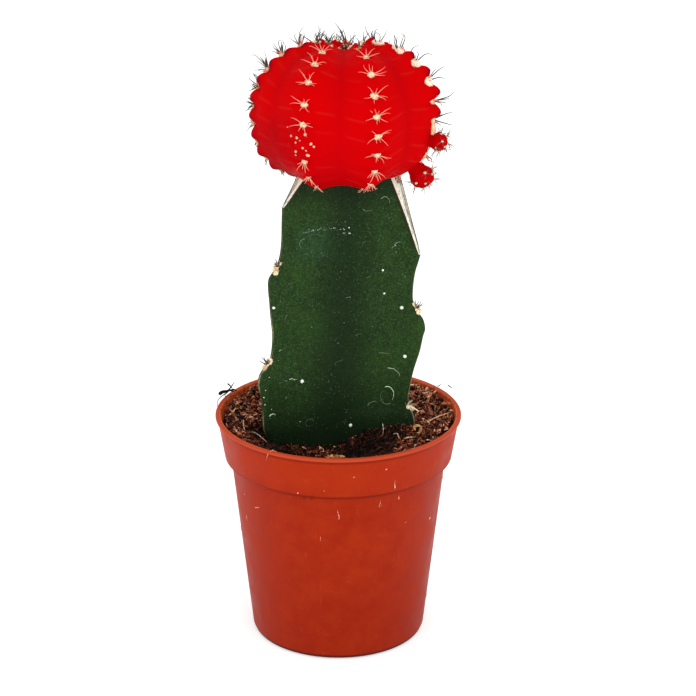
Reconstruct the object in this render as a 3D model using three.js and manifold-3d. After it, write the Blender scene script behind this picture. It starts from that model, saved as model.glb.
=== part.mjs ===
// Potted moon cactus: a red scion grafted on a three-winged green rootstock, in a small plastic grower pot.
// Millimetres, +Z up. The origin is the centre of the pot's underside, and the stock's broad face looks along -Y.
// Angles named "turn" are measured from the front (-Y) towards +X, the way a LatheGeometry lays its segments.
import * as THREE from 'three';
import { ImprovedNoise } from 'three/addons/math/ImprovedNoise.js';
import { mergeVertices } from 'three/addons/utils/BufferGeometryUtils.js';
import Module from 'manifold-3d';

const wasm = await Module();
wasm.setup();

const { degToRad, lerp, clamp, smoothstep } = THREE.MathUtils;
const noise = new ImprovedNoise();

// ---------------------------------------------------------------- driving dimensions

const GAP = 0.3; // clearance between neighbouring pieces

const POT = {
  rimRadius: 27.5, // a standard 5.5 cm pot
  height: 52,
  lip: 0.5, // how far the lip stands out of the band
  lipHeight: 0.8,
  bandTop: 27,
  bandFoot: 25.5,
  bandFootZ: 41.7,
  bodyTop: 24.1,
  baseRadius: 19.5,
  wall: 0.75,
  floor: 1.2,
  footRise: 0.9, // the middle of the underside stands this far off the table
  footInner: 12.6,
  holeRadius: 2,
  holeRing: 8,
  segments: 44,
};

const SOIL = {
  level: 50.1,
  lumpSize: 6,
  lumpHeight: 0.8,
  crumbSize: 1.7,
  crumbHeight: 1.2,
  heap: { x: 17, y: -4, height: 0.6, spread: 8 },
  hollow: { x: -4, y: -13.5, height: -5, spread: 9 }, // the front is washed out down to the stem's foot
  rings: 13,
  segments: 56,
  crumbs: 22,
  fibres: 12,
};

const STOCK = {
  top: 109.5, // inside the scion, whose ribs hang over it
  cutEnd: 27, // the buried end of the cutting
  // the stem leans a little to the right on its way up
  foot: { x: -2.5, y: 1.2, z: 50 },
  head: { x: 1.1, y: 1, z: 105 },
  turned: 12, // degrees that the left wing is swung to the front
  margin: 0.9, // nose radius of a wing
  core: 7.9, // distance from the axis to the bottom of a face
  coreFoot: 9.3,
  thickening: 1.35, // how a wing thickens inwards: 1 is a wedge, 2 a thin blade
  levelStep: 1.9,
  around: 24,
};

// Each wing's reach from the stem's axis, from the soil up: [height, reach]. An areole sits on the shelf where the
// reach falls back quickly.
const WINGS = [
  {
    // left
    turn: -60,
    reach: [[27, 11], [40, 14], [46, 15.6], [49, 17], [52.3, 18.7], [59.4, 19.9], [63.2, 21.1], [65.4, 20.8],
      [66.8, 19.6], [68.6, 17.9], [74, 17.8], [81.6, 19.2], [84.8, 19.8], [87.4, 19.7], [89, 18.2], [91, 17.2],
      [95, 16.8], [99.4, 16.9], [106.7, 17.2]],
    areoles: [67.4, 89.4],
    cut: { z: 102.8, reach: 17, lean: 38, twist: -30 },
  },
  {
    // right
    turn: 60,
    reach: [[27, 11], [40, 15], [47, 19.4], [51, 20.3], [53.6, 19.7], [55.2, 18.5], [57.8, 18.4], [60.2, 18.7],
      [64.2, 19.2], [68.5, 20.1], [72, 20.6], [73.6, 20.9], [75.8, 20.3], [77.4, 18.9], [79.4, 17.8], [81.8, 17.5],
      [86, 17.7], [90.3, 18.4], [106.7, 18.8]],
    areoles: [55.2, 78],
    cut: { z: 90.3, reach: 18.4, lean: 18.5, twist: 0 },
  },
  {
    // back
    turn: 180,
    reach: [[27, 11], [40, 14.5], [47, 17.8], [52, 19.2], [56.5, 20.5], [59, 20.3], [60.6, 19], [62.4, 18],
      [66, 18], [72, 18.8], [78.5, 20.1], [81.2, 19.8], [82.8, 18.6], [84.6, 17.6], [90, 17.4], [97, 17.7],
      [106.7, 17.9]],
    areoles: [61.6, 83.8],
    cut: { z: 96, reach: 17.7, lean: 25.5, twist: 5 },
  },
];

const SCION = {
  x: 1.4,
  y: 0,
  bottom: 107,
  middle: 120.3,
  radius: 18.9, // of a rib's crest, between its chins
  rise: 14.9, // from the middle to the crests' top
  fall: 14.1, // the same below the middle, were it not cut off at the graft
  squareness: 2.7, // exponent of the meridian: 2 is an ellipse, more is boxier
  furrow: 1.1, // depth between two ribs
  furrowShape: 1.3,
  crown: { back: 7.3, fan: 14, depth: 2.2, spread: 4.2 }, // the growing point, set back from the middle
  areoleStep: 4, // along a rib
  firstAreole: 2.15, // from the middle of the crown
  chinWidth: 0.25, // of half a rib
  irregular: 0.45,
  columnsPerRib: 6,
  wool: 0.55, // height of an areole's wool pad
  spine: { radius: 0.19, shortest: 2.3, longest: 3.7, sunk: 0.7 },
};

// The ribs stand unevenly. Turn in degrees, how far a chin stands out, the share of that which young chins near the
// crown have, the distance down the crest where chins are full-grown, how far the areoles are shifted down, and the
// distance down the crest where the chins end on a rib that loses them early.
const RIBS = [
  { turn: 20.5, chin: 1.2, young: 1, ripe: 21, shift: 1.55 },
  { turn: 75, chin: 2.1, young: 0.2, ripe: 15, shift: 1.5, fade: 28 },
  { turn: 127, chin: 1.8, young: 0.5, ripe: 15, shift: -0.9 },
  { turn: 178, chin: 1.7, young: 0.8, ripe: 21, shift: 0.9 },
  { turn: 228, chin: 1.8, young: 0.6, ripe: 21, shift: -0.6 },
  { turn: 272, chin: 1.35, young: 0.5, ripe: 21, shift: -0.6 },
  { turn: 333, chin: 1.2, young: 1, ripe: 21, shift: -0.65 },
];

// The stretch of crest below an areole, as shares of areoleStep and of the chin's height.
const CHIN_SHAPE = [[0, 0], [0.32, 0.68], [0.6, 1], [0.86, 0.45]];

// Young offsets on the scion: rib number, areole number and size, and how far the middle stands off the crest and up it.
const PUPS = [
  { rib: 1, areole: 7, radius: 2, out: 1.75, up: -0.5, spines: 9 },
  { rib: 1, areole: 9, radius: 2.6, out: 2.5, up: 0.45, spines: 9 },
  { rib: 6, areole: 7, radius: 2.7, out: -1.9, up: 0, spines: 0 },
  { rib: 5, areole: 0, radius: 1.7, out: 0.4, up: 0, spines: 4 },
];

// Long spines that stand up beside the growing point: the foot, and the lean and the length.
const CROWN_SPINES = [
  { x: -1.7, y: 0, lean: 17, turn: 90, length: 5.6 },
  { x: 0.6, y: -0.8, lean: 20, turn: -60, length: 4.2 },
  { x: 1.2, y: 1, lean: 24, turn: 150, length: 4.4 },
];

// ---------------------------------------------------------------- helpers

// A repeatable source of numbers from 0 to 1.
function seeded(seed) {
  let state = seed >>> 0;
  return () => {
    state = (state + 0x6d2b79f5) >>> 0;
    let t = Math.imul(state ^ (state >>> 15), 1 | state);
    t = (t + Math.imul(t ^ (t >>> 7), 61 | t)) ^ t;
    return ((t ^ (t >>> 14)) >>> 0) / 4294967296;
  };
}

function solidOf(geometry) {
  const bare = geometry.clone();
  for (const name of Object.keys(bare.attributes)) if (name !== 'position') bare.deleteAttribute(name);
  const merged = mergeVertices(bare, 1e-4);
  return new wasm.Manifold(
    new wasm.Mesh({
      numProp: 3,
      vertProperties: Float32Array.from(merged.attributes.position.array),
      triVerts: Uint32Array.from(merged.index.array),
    })
  );
}

function geometryOf(solid) {
  const mesh = solid.getMesh();
  const geometry = new THREE.BufferGeometry();
  geometry.setAttribute('position', new THREE.BufferAttribute(Float32Array.from(mesh.vertProperties), 3));
  geometry.setIndex(new THREE.BufferAttribute(Uint32Array.from(mesh.triVerts), 1));
  geometry.computeVertexNormals();
  return geometry;
}

// The heaviest body of a joined solid: a scrap that a boolean leaves loose is dropped.
function mainBody(solid) {
  return solid.decompose().reduce((best, body) => (body.volume() > best.volume() ? body : best));
}

const fused = (solids) => mainBody(wasm.Manifold.union(solids));

// Turns a solid of revolution upright, so that its height runs along +Z and its seam faces the front.
const upright = (geometry) => geometry.rotateX(Math.PI / 2);

const lathe = (profile, segments) =>
  upright(new THREE.LatheGeometry(profile.map(([r, z]) => new THREE.Vector2(r, z)), segments));

// Moves every vertex of a geometry to where place(u, v, point) puts it; u and v are its texture coordinates.
function reshape(geometry, place) {
  const { position, uv } = geometry.attributes;
  const point = new THREE.Vector3();
  for (let i = 0; i < position.count; i++) {
    place(uv.getX(i), uv.getY(i), point.fromBufferAttribute(position, i));
    position.setXYZ(i, point.x, point.y, point.z);
  }
  return geometry;
}

// A smooth curve through [x, y] points, read at x.
function curveAt(points, x) {
  const last = points.length - 1;
  let i = 0;
  while (i < last - 1 && x > points[i + 1][0]) i++;
  const [before, from, to, after] = [i - 1, i, i + 1, i + 2].map((k) => points[clamp(k, 0, last)]);
  const slope = (a, b) => (b[1] - a[1]) / Math.max(b[0] - a[0], 1e-6);
  const span = to[0] - from[0];
  const t = clamp((x - from[0]) / span, 0, 1);
  const start = slope(before, to) * span;
  const end = slope(from, after) * span;
  return (
    (2 * t ** 3 - 3 * t ** 2 + 1) * from[1] +
    (t ** 3 - 2 * t ** 2 + t) * start +
    (3 * t ** 2 - 2 * t ** 3) * to[1] +
    (t ** 3 - t ** 2) * end
  );
}

const outwards = (turn) => new THREE.Vector3(Math.sin(turn), -Math.cos(turn), 0);

// A geometry whose own axis is +Y, set down at a point and pointed along a direction.
function pointed(geometry, at, direction) {
  const turn = new THREE.Quaternion().setFromUnitVectors(new THREE.Vector3(0, 1, 0), direction.clone().normalize());
  return geometry.applyQuaternion(turn).translate(at.x, at.y, at.z);
}

// A needle with three sides that starts below the surface it grows from.
function needle(root, direction, length, radius, sunk) {
  const cone = new THREE.ConeGeometry(radius, length + sunk, 3).translate(0, (length - sunk) / 2, 0);
  return pointed(cone, root, direction);
}

// A small rough lump: a ball of few faces, squashed along its own axis.
function lump(at, direction, radius, flatness) {
  return pointed(new THREE.OctahedronGeometry(radius, 0).scale(1, flatness, 1), at, direction);
}

// ---------------------------------------------------------------- pot

function innerRadius(z) {
  const shoulder = POT.bandFootZ + 1;
  if (z < POT.bandFootZ) return lerp(POT.baseRadius, POT.bodyTop, z / POT.bandFootZ) - POT.wall;
  const band = lerp(POT.bandFoot, POT.bandTop, (z - POT.bandFootZ) / (POT.height - POT.bandFootZ)) - POT.wall;
  return z < shoulder ? lerp(POT.bodyTop - POT.wall, band, z - POT.bandFootZ) : band;
}

function makePot() {
  const { rimRadius, height, lip, lipHeight, bandFoot, bandFootZ, bodyTop, baseRadius, footRise, footInner } = POT;
  const floorTop = footRise + POT.floor;
  const lipFoot = height - lipHeight;
  const mouth = innerRadius(height);
  const profile = [
    [0, footRise],
    [footInner, footRise],
    [footInner + 0.9, 0],
    [baseRadius - 1, 0],
    [baseRadius - 0.25, 0.3],
    [baseRadius + 0.1, 1.1],
    [bodyTop, bandFootZ],
    [bandFoot - 0.5, bandFootZ],
    [bandFoot, bandFootZ + 0.5],
    [rimRadius - lip, lipFoot],
    [rimRadius - 0.15, lipFoot + 0.1],
    [rimRadius, lipFoot + 0.25],
    [rimRadius, height - 0.25],
    [rimRadius - 0.25, height],
    [mouth + 0.25, height],
    [mouth, height - 0.3],
    [innerRadius(bandFootZ + 1), bandFootZ + 1],
    [innerRadius(bandFootZ - 0.2), bandFootZ - 0.2],
    [innerRadius(floorTop + 1), floorTop + 1],
    [innerRadius(floorTop) - 0.9, floorTop],
    [0, floorTop],
  ];
  const holes = [new THREE.Vector3()];
  for (let i = 0; i < 4; i++) holes.push(outwards((i + 0.5) * (Math.PI / 2)).multiplyScalar(POT.holeRing));
  const drill = new THREE.CylinderGeometry(POT.holeRadius, POT.holeRadius, 4 * floorTop, 12);
  return holes.reduce(
    (pot, at) => pot.subtract(solidOf(upright(drill.clone()).translate(at.x, at.y, 0))),
    solidOf(lathe(profile, POT.segments))
  );
}

// ---------------------------------------------------------------- rootstock

const stockAxis = (z) => {
  const { foot, head } = STOCK;
  const t = (z - foot.z) / (head.z - foot.z);
  return new THREE.Vector3(lerp(foot.x, head.x, t), lerp(foot.y, head.y, t), z);
};

const wingTurn = (wing) => degToRad(wing.turn + STOCK.turned);

// A point of the stock's outline at one height. "around" counts the wings: its whole part is the wing, and its
// fraction runs from the face before the wing (0) over the margin (0.5) to the face behind it (1).
function stockOutline(around, z, grow = 0) {
  const wing = WINGS[Math.floor(around) % WINGS.length];
  const side = (around % 1) * 2 - 1;
  const inwards = Math.abs(side);
  const reach = curveAt(wing.reach, z);
  const core = lerp(STOCK.coreFoot, STOCK.core, smoothstep(z, 48, 75));
  const valley = new THREE.Vector2(core, 0).rotateAround(new THREE.Vector2(), Math.PI / 3);
  const depth = (reach - valley.x) * inwards ** 1.6;
  const nose = STOCK.margin * Math.sqrt(1 - (1 - Math.min(depth / STOCK.margin, 1)) ** 2);
  const thick = nose + (valley.y - STOCK.margin) * (depth / (reach - valley.x)) ** STOCK.thickening;
  const along = outwards(wingTurn(wing));
  const across = new THREE.Vector3(-along.y, along.x, 0);
  return stockAxis(z)
    .addScaledVector(along, reach - depth + grow)
    .addScaledVector(across, Math.sign(side) * (thick + grow * inwards));
}

// The stock between the given heights, as one closed loft with flat ends.
function stockLoft(levels, grow = 0) {
  const loft = new THREE.CylinderGeometry(1, 1, 1, STOCK.around, levels.length - 1);
  const levelAt = (y) => levels[Math.round((y + 0.5) * (levels.length - 1))];
  const { position } = loft.attributes;
  for (let i = 0; i < position.count; i++) {
    const [x, y, z] = [position.getX(i), position.getY(i), position.getZ(i)];
    const height = levelAt(y);
    const step = Math.round((Math.atan2(x, z) / (2 * Math.PI) + 1) * STOCK.around) % STOCK.around;
    const at =
      Math.hypot(x, z) < 0.5 ? stockAxis(height) : stockOutline((step / STOCK.around) * WINGS.length, height, grow);
    position.setXYZ(i, at.x, at.y, at.z);
  }
  return solidOf(loft);
}

// The block that a slanting cut takes off the top of a wing.
function cutBlock(wing, grow) {
  const size = 40;
  const { z, reach, lean, twist } = wing.cut;
  const turn = wingTurn(wing);
  const at = stockAxis(z).addScaledVector(outwards(turn), reach);
  const block = new THREE.BoxGeometry(size, size, size).translate(0, -size / 2 - grow, 0);
  block.rotateX(-degToRad(lean)).rotateZ(turn + degToRad(twist));
  return solidOf(block.translate(at.x, at.y, at.z));
}

// The stock between the given heights with its wings cut off. Grown, it is the hollow that the scion sits on.
function stockBody(levels, grow = 0) {
  return WINGS.reduce((stem, wing) => stem.subtract(cutBlock(wing, grow)), stockLoft(levels, grow));
}

function makeStock() {
  const levels = [STOCK.cutEnd, 33, 40, 45];
  const steps = Math.round((STOCK.top - 48) / STOCK.levelStep);
  for (let i = 0; i <= steps; i++) levels.push(lerp(48, STOCK.top, i / steps));
  const draw = seeded(11);
  const areoles = WINGS.flatMap((wing) =>
    wing.areoles.flatMap((z) => {
      const out = outwards(wingTurn(wing));
      const at = stockAxis(z).addScaledVector(out, curveAt(wing.reach, z) - 0.1);
      const pads = [lump(at, new THREE.Vector3(out.x, out.y, 1), 1.15, 0.6)];
      for (let i = 0; i < 3; i++) {
        const aim = out.clone().applyAxisAngle(new THREE.Vector3(0, 0, 1), (i - 1) * 0.9 + (draw() - 0.5) * 0.5);
        pads.push(needle(at, aim.setZ(0.4 + draw()), 2 + draw(), 0.2, 0.6));
      }
      return pads.map(solidOf);
    })
  );
  return fused([stockBody(levels), ...areoles]);
}

// ---------------------------------------------------------------- potting mix

const mound = ({ x, y, height, spread }, px, py) => height * Math.exp(-((px - x) ** 2 + (py - y) ** 2) / spread ** 2);

function soilHeight(x, y) {
  const lumps = SOIL.lumpHeight * noise.noise(x / SOIL.lumpSize, y / SOIL.lumpSize, 3.7);
  const crumbs = SOIL.crumbHeight * Math.abs(noise.noise(x / SOIL.crumbSize, y / SOIL.crumbSize, 8.1));
  return SOIL.level + lumps + crumbs + mound(SOIL.heap, x, y) + mound(SOIL.hollow, x, y);
}

// A place on the soil's surface that is clear of the stem.
function soilSpot(draw, most) {
  for (;;) {
    const at = outwards(draw() * 2 * Math.PI).multiplyScalar(lerp(9, most, Math.sqrt(draw())));
    const fromStem = at.clone().sub(stockAxis(SOIL.level)).setZ(0);
    const nearest = Math.min(
      ...WINGS.map((wing) => {
        const out = outwards(wingTurn(wing));
        const along = clamp(fromStem.dot(out), 0, curveAt(wing.reach, SOIL.level));
        return fromStem.clone().addScaledVector(out, -along).length() - lerp(STOCK.coreFoot, 1, along / 18);
      })
    );
    if (nearest > 2) return at.setZ(soilHeight(at.x, at.y));
  }
}

// A crooked fibre that lies on the soil, with both ends and its low stretches under the surface.
function fibre(draw) {
  const start = soilSpot(draw, 21);
  const length = lerp(3.5, 8, draw());
  const heading = draw() * 2 * Math.PI;
  const points = [0, 1, 2, 3].map((i) => {
    const bend = heading + (draw() - 0.5) * 1.4;
    const at = start.clone().addScaledVector(outwards(bend), (i / 3 - 0.5) * length);
    if (Math.hypot(at.x, at.y) > 23.5) at.setLength(23.5);
    return at.setZ(soilHeight(at.x, at.y) + (i === 0 || i === 3 ? -0.3 : 0.35));
  });
  const path = new THREE.CatmullRomCurve3(points);
  const section = new THREE.Shape([0, 1, 2].map((i) => new THREE.Vector2(0.3, 0).rotateAround({ x: 0, y: 0 }, i * 2.094)));
  return new THREE.ExtrudeGeometry(section, { steps: 4, bevelEnabled: false, extrudePath: path });
}

function makeSoil() {
  const { rings, segments, level } = SOIL;
  const floorTop = POT.footRise + POT.floor + GAP;
  const wallAt = (z) => [innerRadius(z) - GAP - 0.05, z];
  const profile = [[0, floorTop], [innerRadius(floorTop) - 1.4, floorTop], wallAt(floorTop + 1.3), wallAt(20),
    wallAt(POT.bandFootZ - 0.4), wallAt(POT.bandFootZ + 1.5)];
  const walls = profile.length;
  const edge = wallAt(level)[0];
  for (let i = 0; i <= rings; i++) profile.push([edge * (1 - i / rings), level]);
  const body = reshape(lathe(profile, segments), (u, v, point) => {
    if (Math.round(v * (profile.length - 1)) >= walls) point.z = soilHeight(point.x, point.y);
  });
  const hole = stockLoft([STOCK.cutEnd - GAP, 33, 40, 45, 48, 51, 58], GAP + 0.05);

  const draw = seeded(5);
  const crumbs = Array.from({ length: SOIL.crumbs }, () => {
    const tilt = new THREE.Vector3(draw() - 0.5, draw() - 0.5, draw());
    return lump(soilSpot(draw, 22.5), tilt, lerp(0.8, 1.7, draw()), lerp(0.5, 0.9, draw()));
  });
  // a chip of bark that stands in the hollow behind the front of the rim
  const chip = new THREE.BoxGeometry(5, 1.9, 3.6, 4, 1, 1);
  reshape(chip, (u, v, point) => {
    if (point.z > 0) point.z -= 0.09 * point.x ** 2 + 0.35 * Math.sin(point.x * 2);
  });
  chip.rotateY(0.1).translate(-0.3, -22, soilHeight(-0.3, -22) + 1.1);
  const litter = [...crumbs, chip, ...Array.from({ length: SOIL.fibres }, () => fibre(draw))];
  return mainBody(wasm.Manifold.union([solidOf(body), ...litter.map(solidOf)]).subtract(hole));
}

// ---------------------------------------------------------------- scion

// The crest line of a rib, from the middle of the crown to the graft: points with their distance along it.
const meridian = (() => {
  const { radius, rise, fall, squareness, middle, bottom } = SCION;
  const points = [];
  for (let i = 0; i <= 600; i++) {
    const angle = (i / 600) * Math.PI;
    const r = radius * Math.sin(angle) ** (2 / squareness);
    const level = Math.abs(Math.cos(angle)) ** (2 / squareness);
    const z = angle < Math.PI / 2 ? middle + rise * level : middle - fall * level;
    if (z < bottom) break;
    const before = points[points.length - 1];
    points.push({ r, z, s: before ? before.s + Math.hypot(r - before.r, z - before.z) : 0 });
  }
  return points;
})();
const meridianEnd = meridian[meridian.length - 1].s;

// Reads the meridian where its distance "s", or on the upper half its radius "r", reaches a value.
function onMeridian(key, value) {
  const i = clamp(meridian.findIndex((p) => p[key] >= value), 1, meridian.length - 1);
  const [a, b] = [meridian[i - 1], meridian[i]];
  const t = clamp((value - a[key]) / (b[key] - a[key]), 0, 1);
  const slope = new THREE.Vector2(b.r - a.r, b.z - a.z).normalize();
  return { r: lerp(a.r, b.r, t), z: lerp(a.z, b.z, t), nr: -slope.y, nz: slope.x };
}

const ribTurn = (rib) => degToRad(RIBS[rib].turn);

// Half the angle to the neighbouring rib on one side (-1 or 1).
function halfGap(rib, side) {
  const neighbour = RIBS[(rib + side + RIBS.length) % RIBS.length];
  return degToRad(((neighbour.turn - RIBS[rib].turn) * side + 360) % 360) / 2;
}

function chinHeight(rib, s) {
  const { chin, young, ripe, fade = 99 } = RIBS[rib];
  return chin * lerp(young, 1, smoothstep(s, ripe - 12, ripe)) * (1 - smoothstep(s, fade - 3, fade));
}

// A rib's areoles are shifted along it, and even out at the crown and the graft.
function shifted(rib, s) {
  return RIBS[rib].shift * smoothstep(s, 0, 10) * (1 - smoothstep(s, meridianEnd - 6, meridianEnd));
}

// A point of the scion's skin. across runs from -1 over the crest (0) to 1 in the furrows on both sides, s is the
// distance down the crest, and chin and wool are the shares of a chin's and a wool pad's height there.
function scionSkin(rib, across, s, chin, wool = 0) {
  const { crown, radius, middle } = SCION;
  const along = s + shifted(rib, s) * Math.cos((Math.PI / 2) * across);
  const { r, z } = onMeridian('s', Math.min(along, meridianEnd));
  // above the middle the ribs run together at the growing point, which is set back on the dome
  const above = z > middle ? (1 - (r / radius) ** 2) ** 2 : 0;
  const turn = ribTurn(rib) + across * halfGap(rib, across < 0 ? -1 : 1);
  const plan = outwards(turn + degToRad(crown.fan) * Math.sin(turn) * above).multiplyScalar(r);
  plan.y += crown.back * above;
  const dome = above ? onMeridian('r', plan.length()) : onMeridian('s', Math.min(along, meridianEnd));
  const ends = smoothstep(r, 1, 7) * (1 - 0.6 * smoothstep(along, meridianEnd - 6, meridianEnd));
  const furrow = SCION.furrow * ends * (0.5 - 0.5 * Math.cos(Math.PI * across)) ** SCION.furrowShape;
  const ripple = 0.07 * chin * ends;
  const bump = chinHeight(rib, s) * chin * ends * Math.exp(-((across / SCION.chinWidth) ** 2)) + ripple;
  const wobble = SCION.irregular * noise.noise(plan.x * 0.12, plan.y * 0.12, z * 0.12) * ends;
  const sink = above ? crown.depth * Math.exp(-((r / crown.spread) ** 2)) : 0;
  const lift = bump + wobble - furrow + SCION.wool * wool;
  const at = new THREE.Vector3(SCION.x, SCION.y, dome.z + dome.nz * lift - sink);
  return at.add(plan).addScaledVector(plan.clone().normalize(), dome.nr * lift);
}

const areoleCount = Math.floor((meridianEnd - SCION.firstAreole - 0.6) / SCION.areoleStep) + 1;
const areoleAt = (index) => SCION.firstAreole + index * SCION.areoleStep;

// Where an areole sits, with the directions out of the skin, down the rib and across it.
function areoleFrame(rib, index) {
  const s = areoleAt(index);
  const at = scionSkin(rib, 0, s, CHIN_SHAPE[0][1]);
  const down = scionSkin(rib, 0, s + 0.8, 0).sub(scionSkin(rib, 0, s - 0.8, 0)).normalize();
  const across = outwards(ribTurn(rib) + Math.PI / 2);
  return { at, down, across, out: across.clone().cross(down).negate().normalize() };
}

function scionBody() {
  // rows of [distance down the crest, share of a chin, share of a wool pad]
  const rows = [[0, 0, 0], [1, 0, 0]];
  for (let i = 0; i < areoleCount; i++)
    for (const [share, chin] of CHIN_SHAPE) {
      const s = areoleAt(i) + share * SCION.areoleStep;
      if (s < meridianEnd - 0.4) rows.push([s, chin, share === 0 ? 1 : 0]);
    }
  rows.push([meridianEnd, 0, 0]);
  const profile = rows.map(([s], row) => [row === 0 ? 0 : 1, -s]);
  profile.push([0, -meridianEnd]);
  const columns = RIBS.length * SCION.columnsPerRib;
  return reshape(lathe(profile.reverse(), columns), (u, v, point) => {
    const row = Math.round((1 - v) * (profile.length - 1));
    if (row >= rows.length) {
      point.set(SCION.x, SCION.y, SCION.bottom);
      return;
    }
    const step = Math.round(u * columns) % columns;
    const rib = Math.floor((step + SCION.columnsPerRib / 2) / SCION.columnsPerRib);
    const even = (step - rib * SCION.columnsPerRib) / (SCION.columnsPerRib / 2);
    const [s, chin, wool] = rows[row];
    const across = Math.sign(even) * Math.abs(even) ** 1.3;
    point.copy(scionSkin(rib % RIBS.length, across, s, chin, even === 0 ? wool : 0));
    if (row === rows.length - 1) point.z = SCION.bottom;
  });
}

// The spines of one areole. Low ones lift theirs clear of the stock.
function areoleSpines(rib, index, draw) {
  const { at, down, across, out } = areoleFrame(rib, index);
  const { radius, shortest, longest, sunk } = SCION.spine;
  const pieces = [];
  const low = index >= areoleCount - 2;
  const sprays = low ? [-1.2, -0.4, 0.5, 1.25] : [-2.1, -0.9, 0.9, 2.1];
  for (const angle of sprays) {
    const swing = angle + (draw() - 0.5) * 0.4;
    const rise = low ? 1.1 : lerp(0.45, 0.85, draw());
    const aim = out.clone().multiplyScalar(rise);
    aim.addScaledVector(down, (low ? -1 : 1) * Math.cos(swing)).addScaledVector(across, Math.sin(swing));
    pieces.push(needle(at, aim, lerp(shortest, longest, draw()), radius, sunk));
  }
  return pieces;
}

// A young offset: a small ball with chins, and a few spines at its end.
function pup({ rib, areole: index, radius, out: stand, up, spines }, draw) {
  const frame = areoleFrame(rib, index);
  const middle = frame.at.clone().addScaledVector(frame.out, stand).addScaledVector(frame.down, -up);
  const ball = new THREE.IcosahedronGeometry(radius, 1);
  reshape(ball, (u, v, point) => {
    point.multiplyScalar(1 + 0.22 * noise.noise(point.x * 1.1 + index, point.y * 1.1, point.z * 1.1 + rib));
  });
  const stalk = new THREE.CylinderGeometry(radius * 0.4, radius * 0.5, stand + 2, 6).translate(0, -stand / 2, 0);
  const pieces = [ball.translate(middle.x, middle.y, middle.z)];
  if (stand > 0) pieces.push(pointed(stalk, middle, frame.out));
  for (let i = 0; i < spines; i++) {
    const swing = i * 2.4;
    const aim = frame.out.clone().multiplyScalar(0.9);
    aim.addScaledVector(frame.down, Math.cos(swing)).addScaledVector(frame.across, Math.sin(swing)).normalize();
    const root = middle.clone().addScaledVector(aim, radius * 0.9);
    pieces.push(lump(root, aim, 0.45, 0.8), needle(root, aim, lerp(1.4, 2.4, draw()), 0.16, 0.5));
  }
  return pieces;
}

// A long spine at the crown, rooted below the skin.
function crownSpine({ x, y, lean, turn, length }) {
  const root = scionSkin(0, 0, 0, 0).add(new THREE.Vector3(x, y, 0));
  const aim = outwards(degToRad(turn)).multiplyScalar(Math.sin(degToRad(lean))).setZ(Math.cos(degToRad(lean)));
  return needle(root, aim, length, SCION.spine.radius, 1.5);
}

function makeScion() {
  const draw = seeded(29);
  const pieces = [scionBody(), ...CROWN_SPINES.map(crownSpine)];
  for (let rib = 0; rib < RIBS.length; rib++)
    for (let index = 0; index < areoleCount; index++)
      if (!PUPS.some((p) => p.rib === rib && p.areole === index)) pieces.push(...areoleSpines(rib, index, draw));
  for (const young of PUPS) pieces.push(...pup(young, draw));
  const { bottom } = SCION;
  const hollow = stockBody([bottom - 4, bottom - 2, bottom, bottom + 1.2, STOCK.top + GAP + 0.05], GAP + 0.05);
  return mainBody(fused(pieces.map(solidOf)).subtract(hollow));
}

// ---------------------------------------------------------------- the plant

function piece(name, solid, color, roughness) {
  const material = new THREE.MeshStandardMaterial({ color, roughness, metalness: 0 });
  const mesh = new THREE.Mesh(geometryOf(solid), material);
  mesh.name = name;
  return mesh;
}

const cactus = new THREE.Group();
cactus.name = 'potted_moon_cactus';
cactus.add(
  piece('pot', makePot(), 0xb4371e, 0.5),
  piece('soil', makeSoil(), 0x3a1d12, 0.95),
  piece('rootstock', makeStock(), 0x2a4a20, 0.5),
  piece('scion', makeScion(), 0xd6050a, 0.55)
);

export default cactus;
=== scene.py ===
"""A potted moon cactus: a red scion on a three-winged green stock, in a small terracotta-coloured grower pot.

Lengths inside this script are millimetres, and each finished mesh is scaled to metres. Heights and places
inside a material are metres. A "turn" is an angle from the front (-Y) towards +X. Every piece but the pot
starts as one sheet of cells that is closed into tubes.
"""

import math
import random
from bisect import bisect_left
from collections import namedtuple

import bmesh
import bpy
from bpy.props import FloatProperty, FloatVectorProperty, IntProperty, PointerProperty
from bpy.types import Operator, Panel, PropertyGroup
from mathutils import Matrix, Vector, noise


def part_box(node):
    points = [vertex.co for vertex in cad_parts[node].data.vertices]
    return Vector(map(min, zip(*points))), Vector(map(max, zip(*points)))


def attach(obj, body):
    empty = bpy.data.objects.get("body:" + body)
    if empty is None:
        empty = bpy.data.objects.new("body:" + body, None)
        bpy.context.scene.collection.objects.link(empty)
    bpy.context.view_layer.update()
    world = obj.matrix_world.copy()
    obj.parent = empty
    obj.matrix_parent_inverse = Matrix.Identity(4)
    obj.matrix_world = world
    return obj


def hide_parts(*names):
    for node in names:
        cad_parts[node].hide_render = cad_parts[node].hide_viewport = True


bl_info = {
    "name": "Potted moon cactus",
    "version": (1, 0, 0),
    "blender": (4, 5, 0),
    "location": "3D View > Sidebar > Cactus",
    "description": "Builds a grafted moon cactus with its stock, potting mix and grower pot",
    "category": "Add Mesh",
}

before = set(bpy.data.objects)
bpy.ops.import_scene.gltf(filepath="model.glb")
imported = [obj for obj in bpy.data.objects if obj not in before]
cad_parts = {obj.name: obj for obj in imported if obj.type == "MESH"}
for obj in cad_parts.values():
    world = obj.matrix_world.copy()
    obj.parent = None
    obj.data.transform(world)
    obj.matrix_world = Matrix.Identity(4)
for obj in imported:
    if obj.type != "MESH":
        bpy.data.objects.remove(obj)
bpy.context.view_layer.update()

MM = 0.001
POT_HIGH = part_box("pot")[1] / MM
STOCK_LOW, STOCK_HIGH = (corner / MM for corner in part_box("rootstock"))
SCION_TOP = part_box("scion")[1].z / MM
UP = Vector((0, 0, 1))


# ---------------------------------------------------------------- sizes that shape the plant

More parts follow.
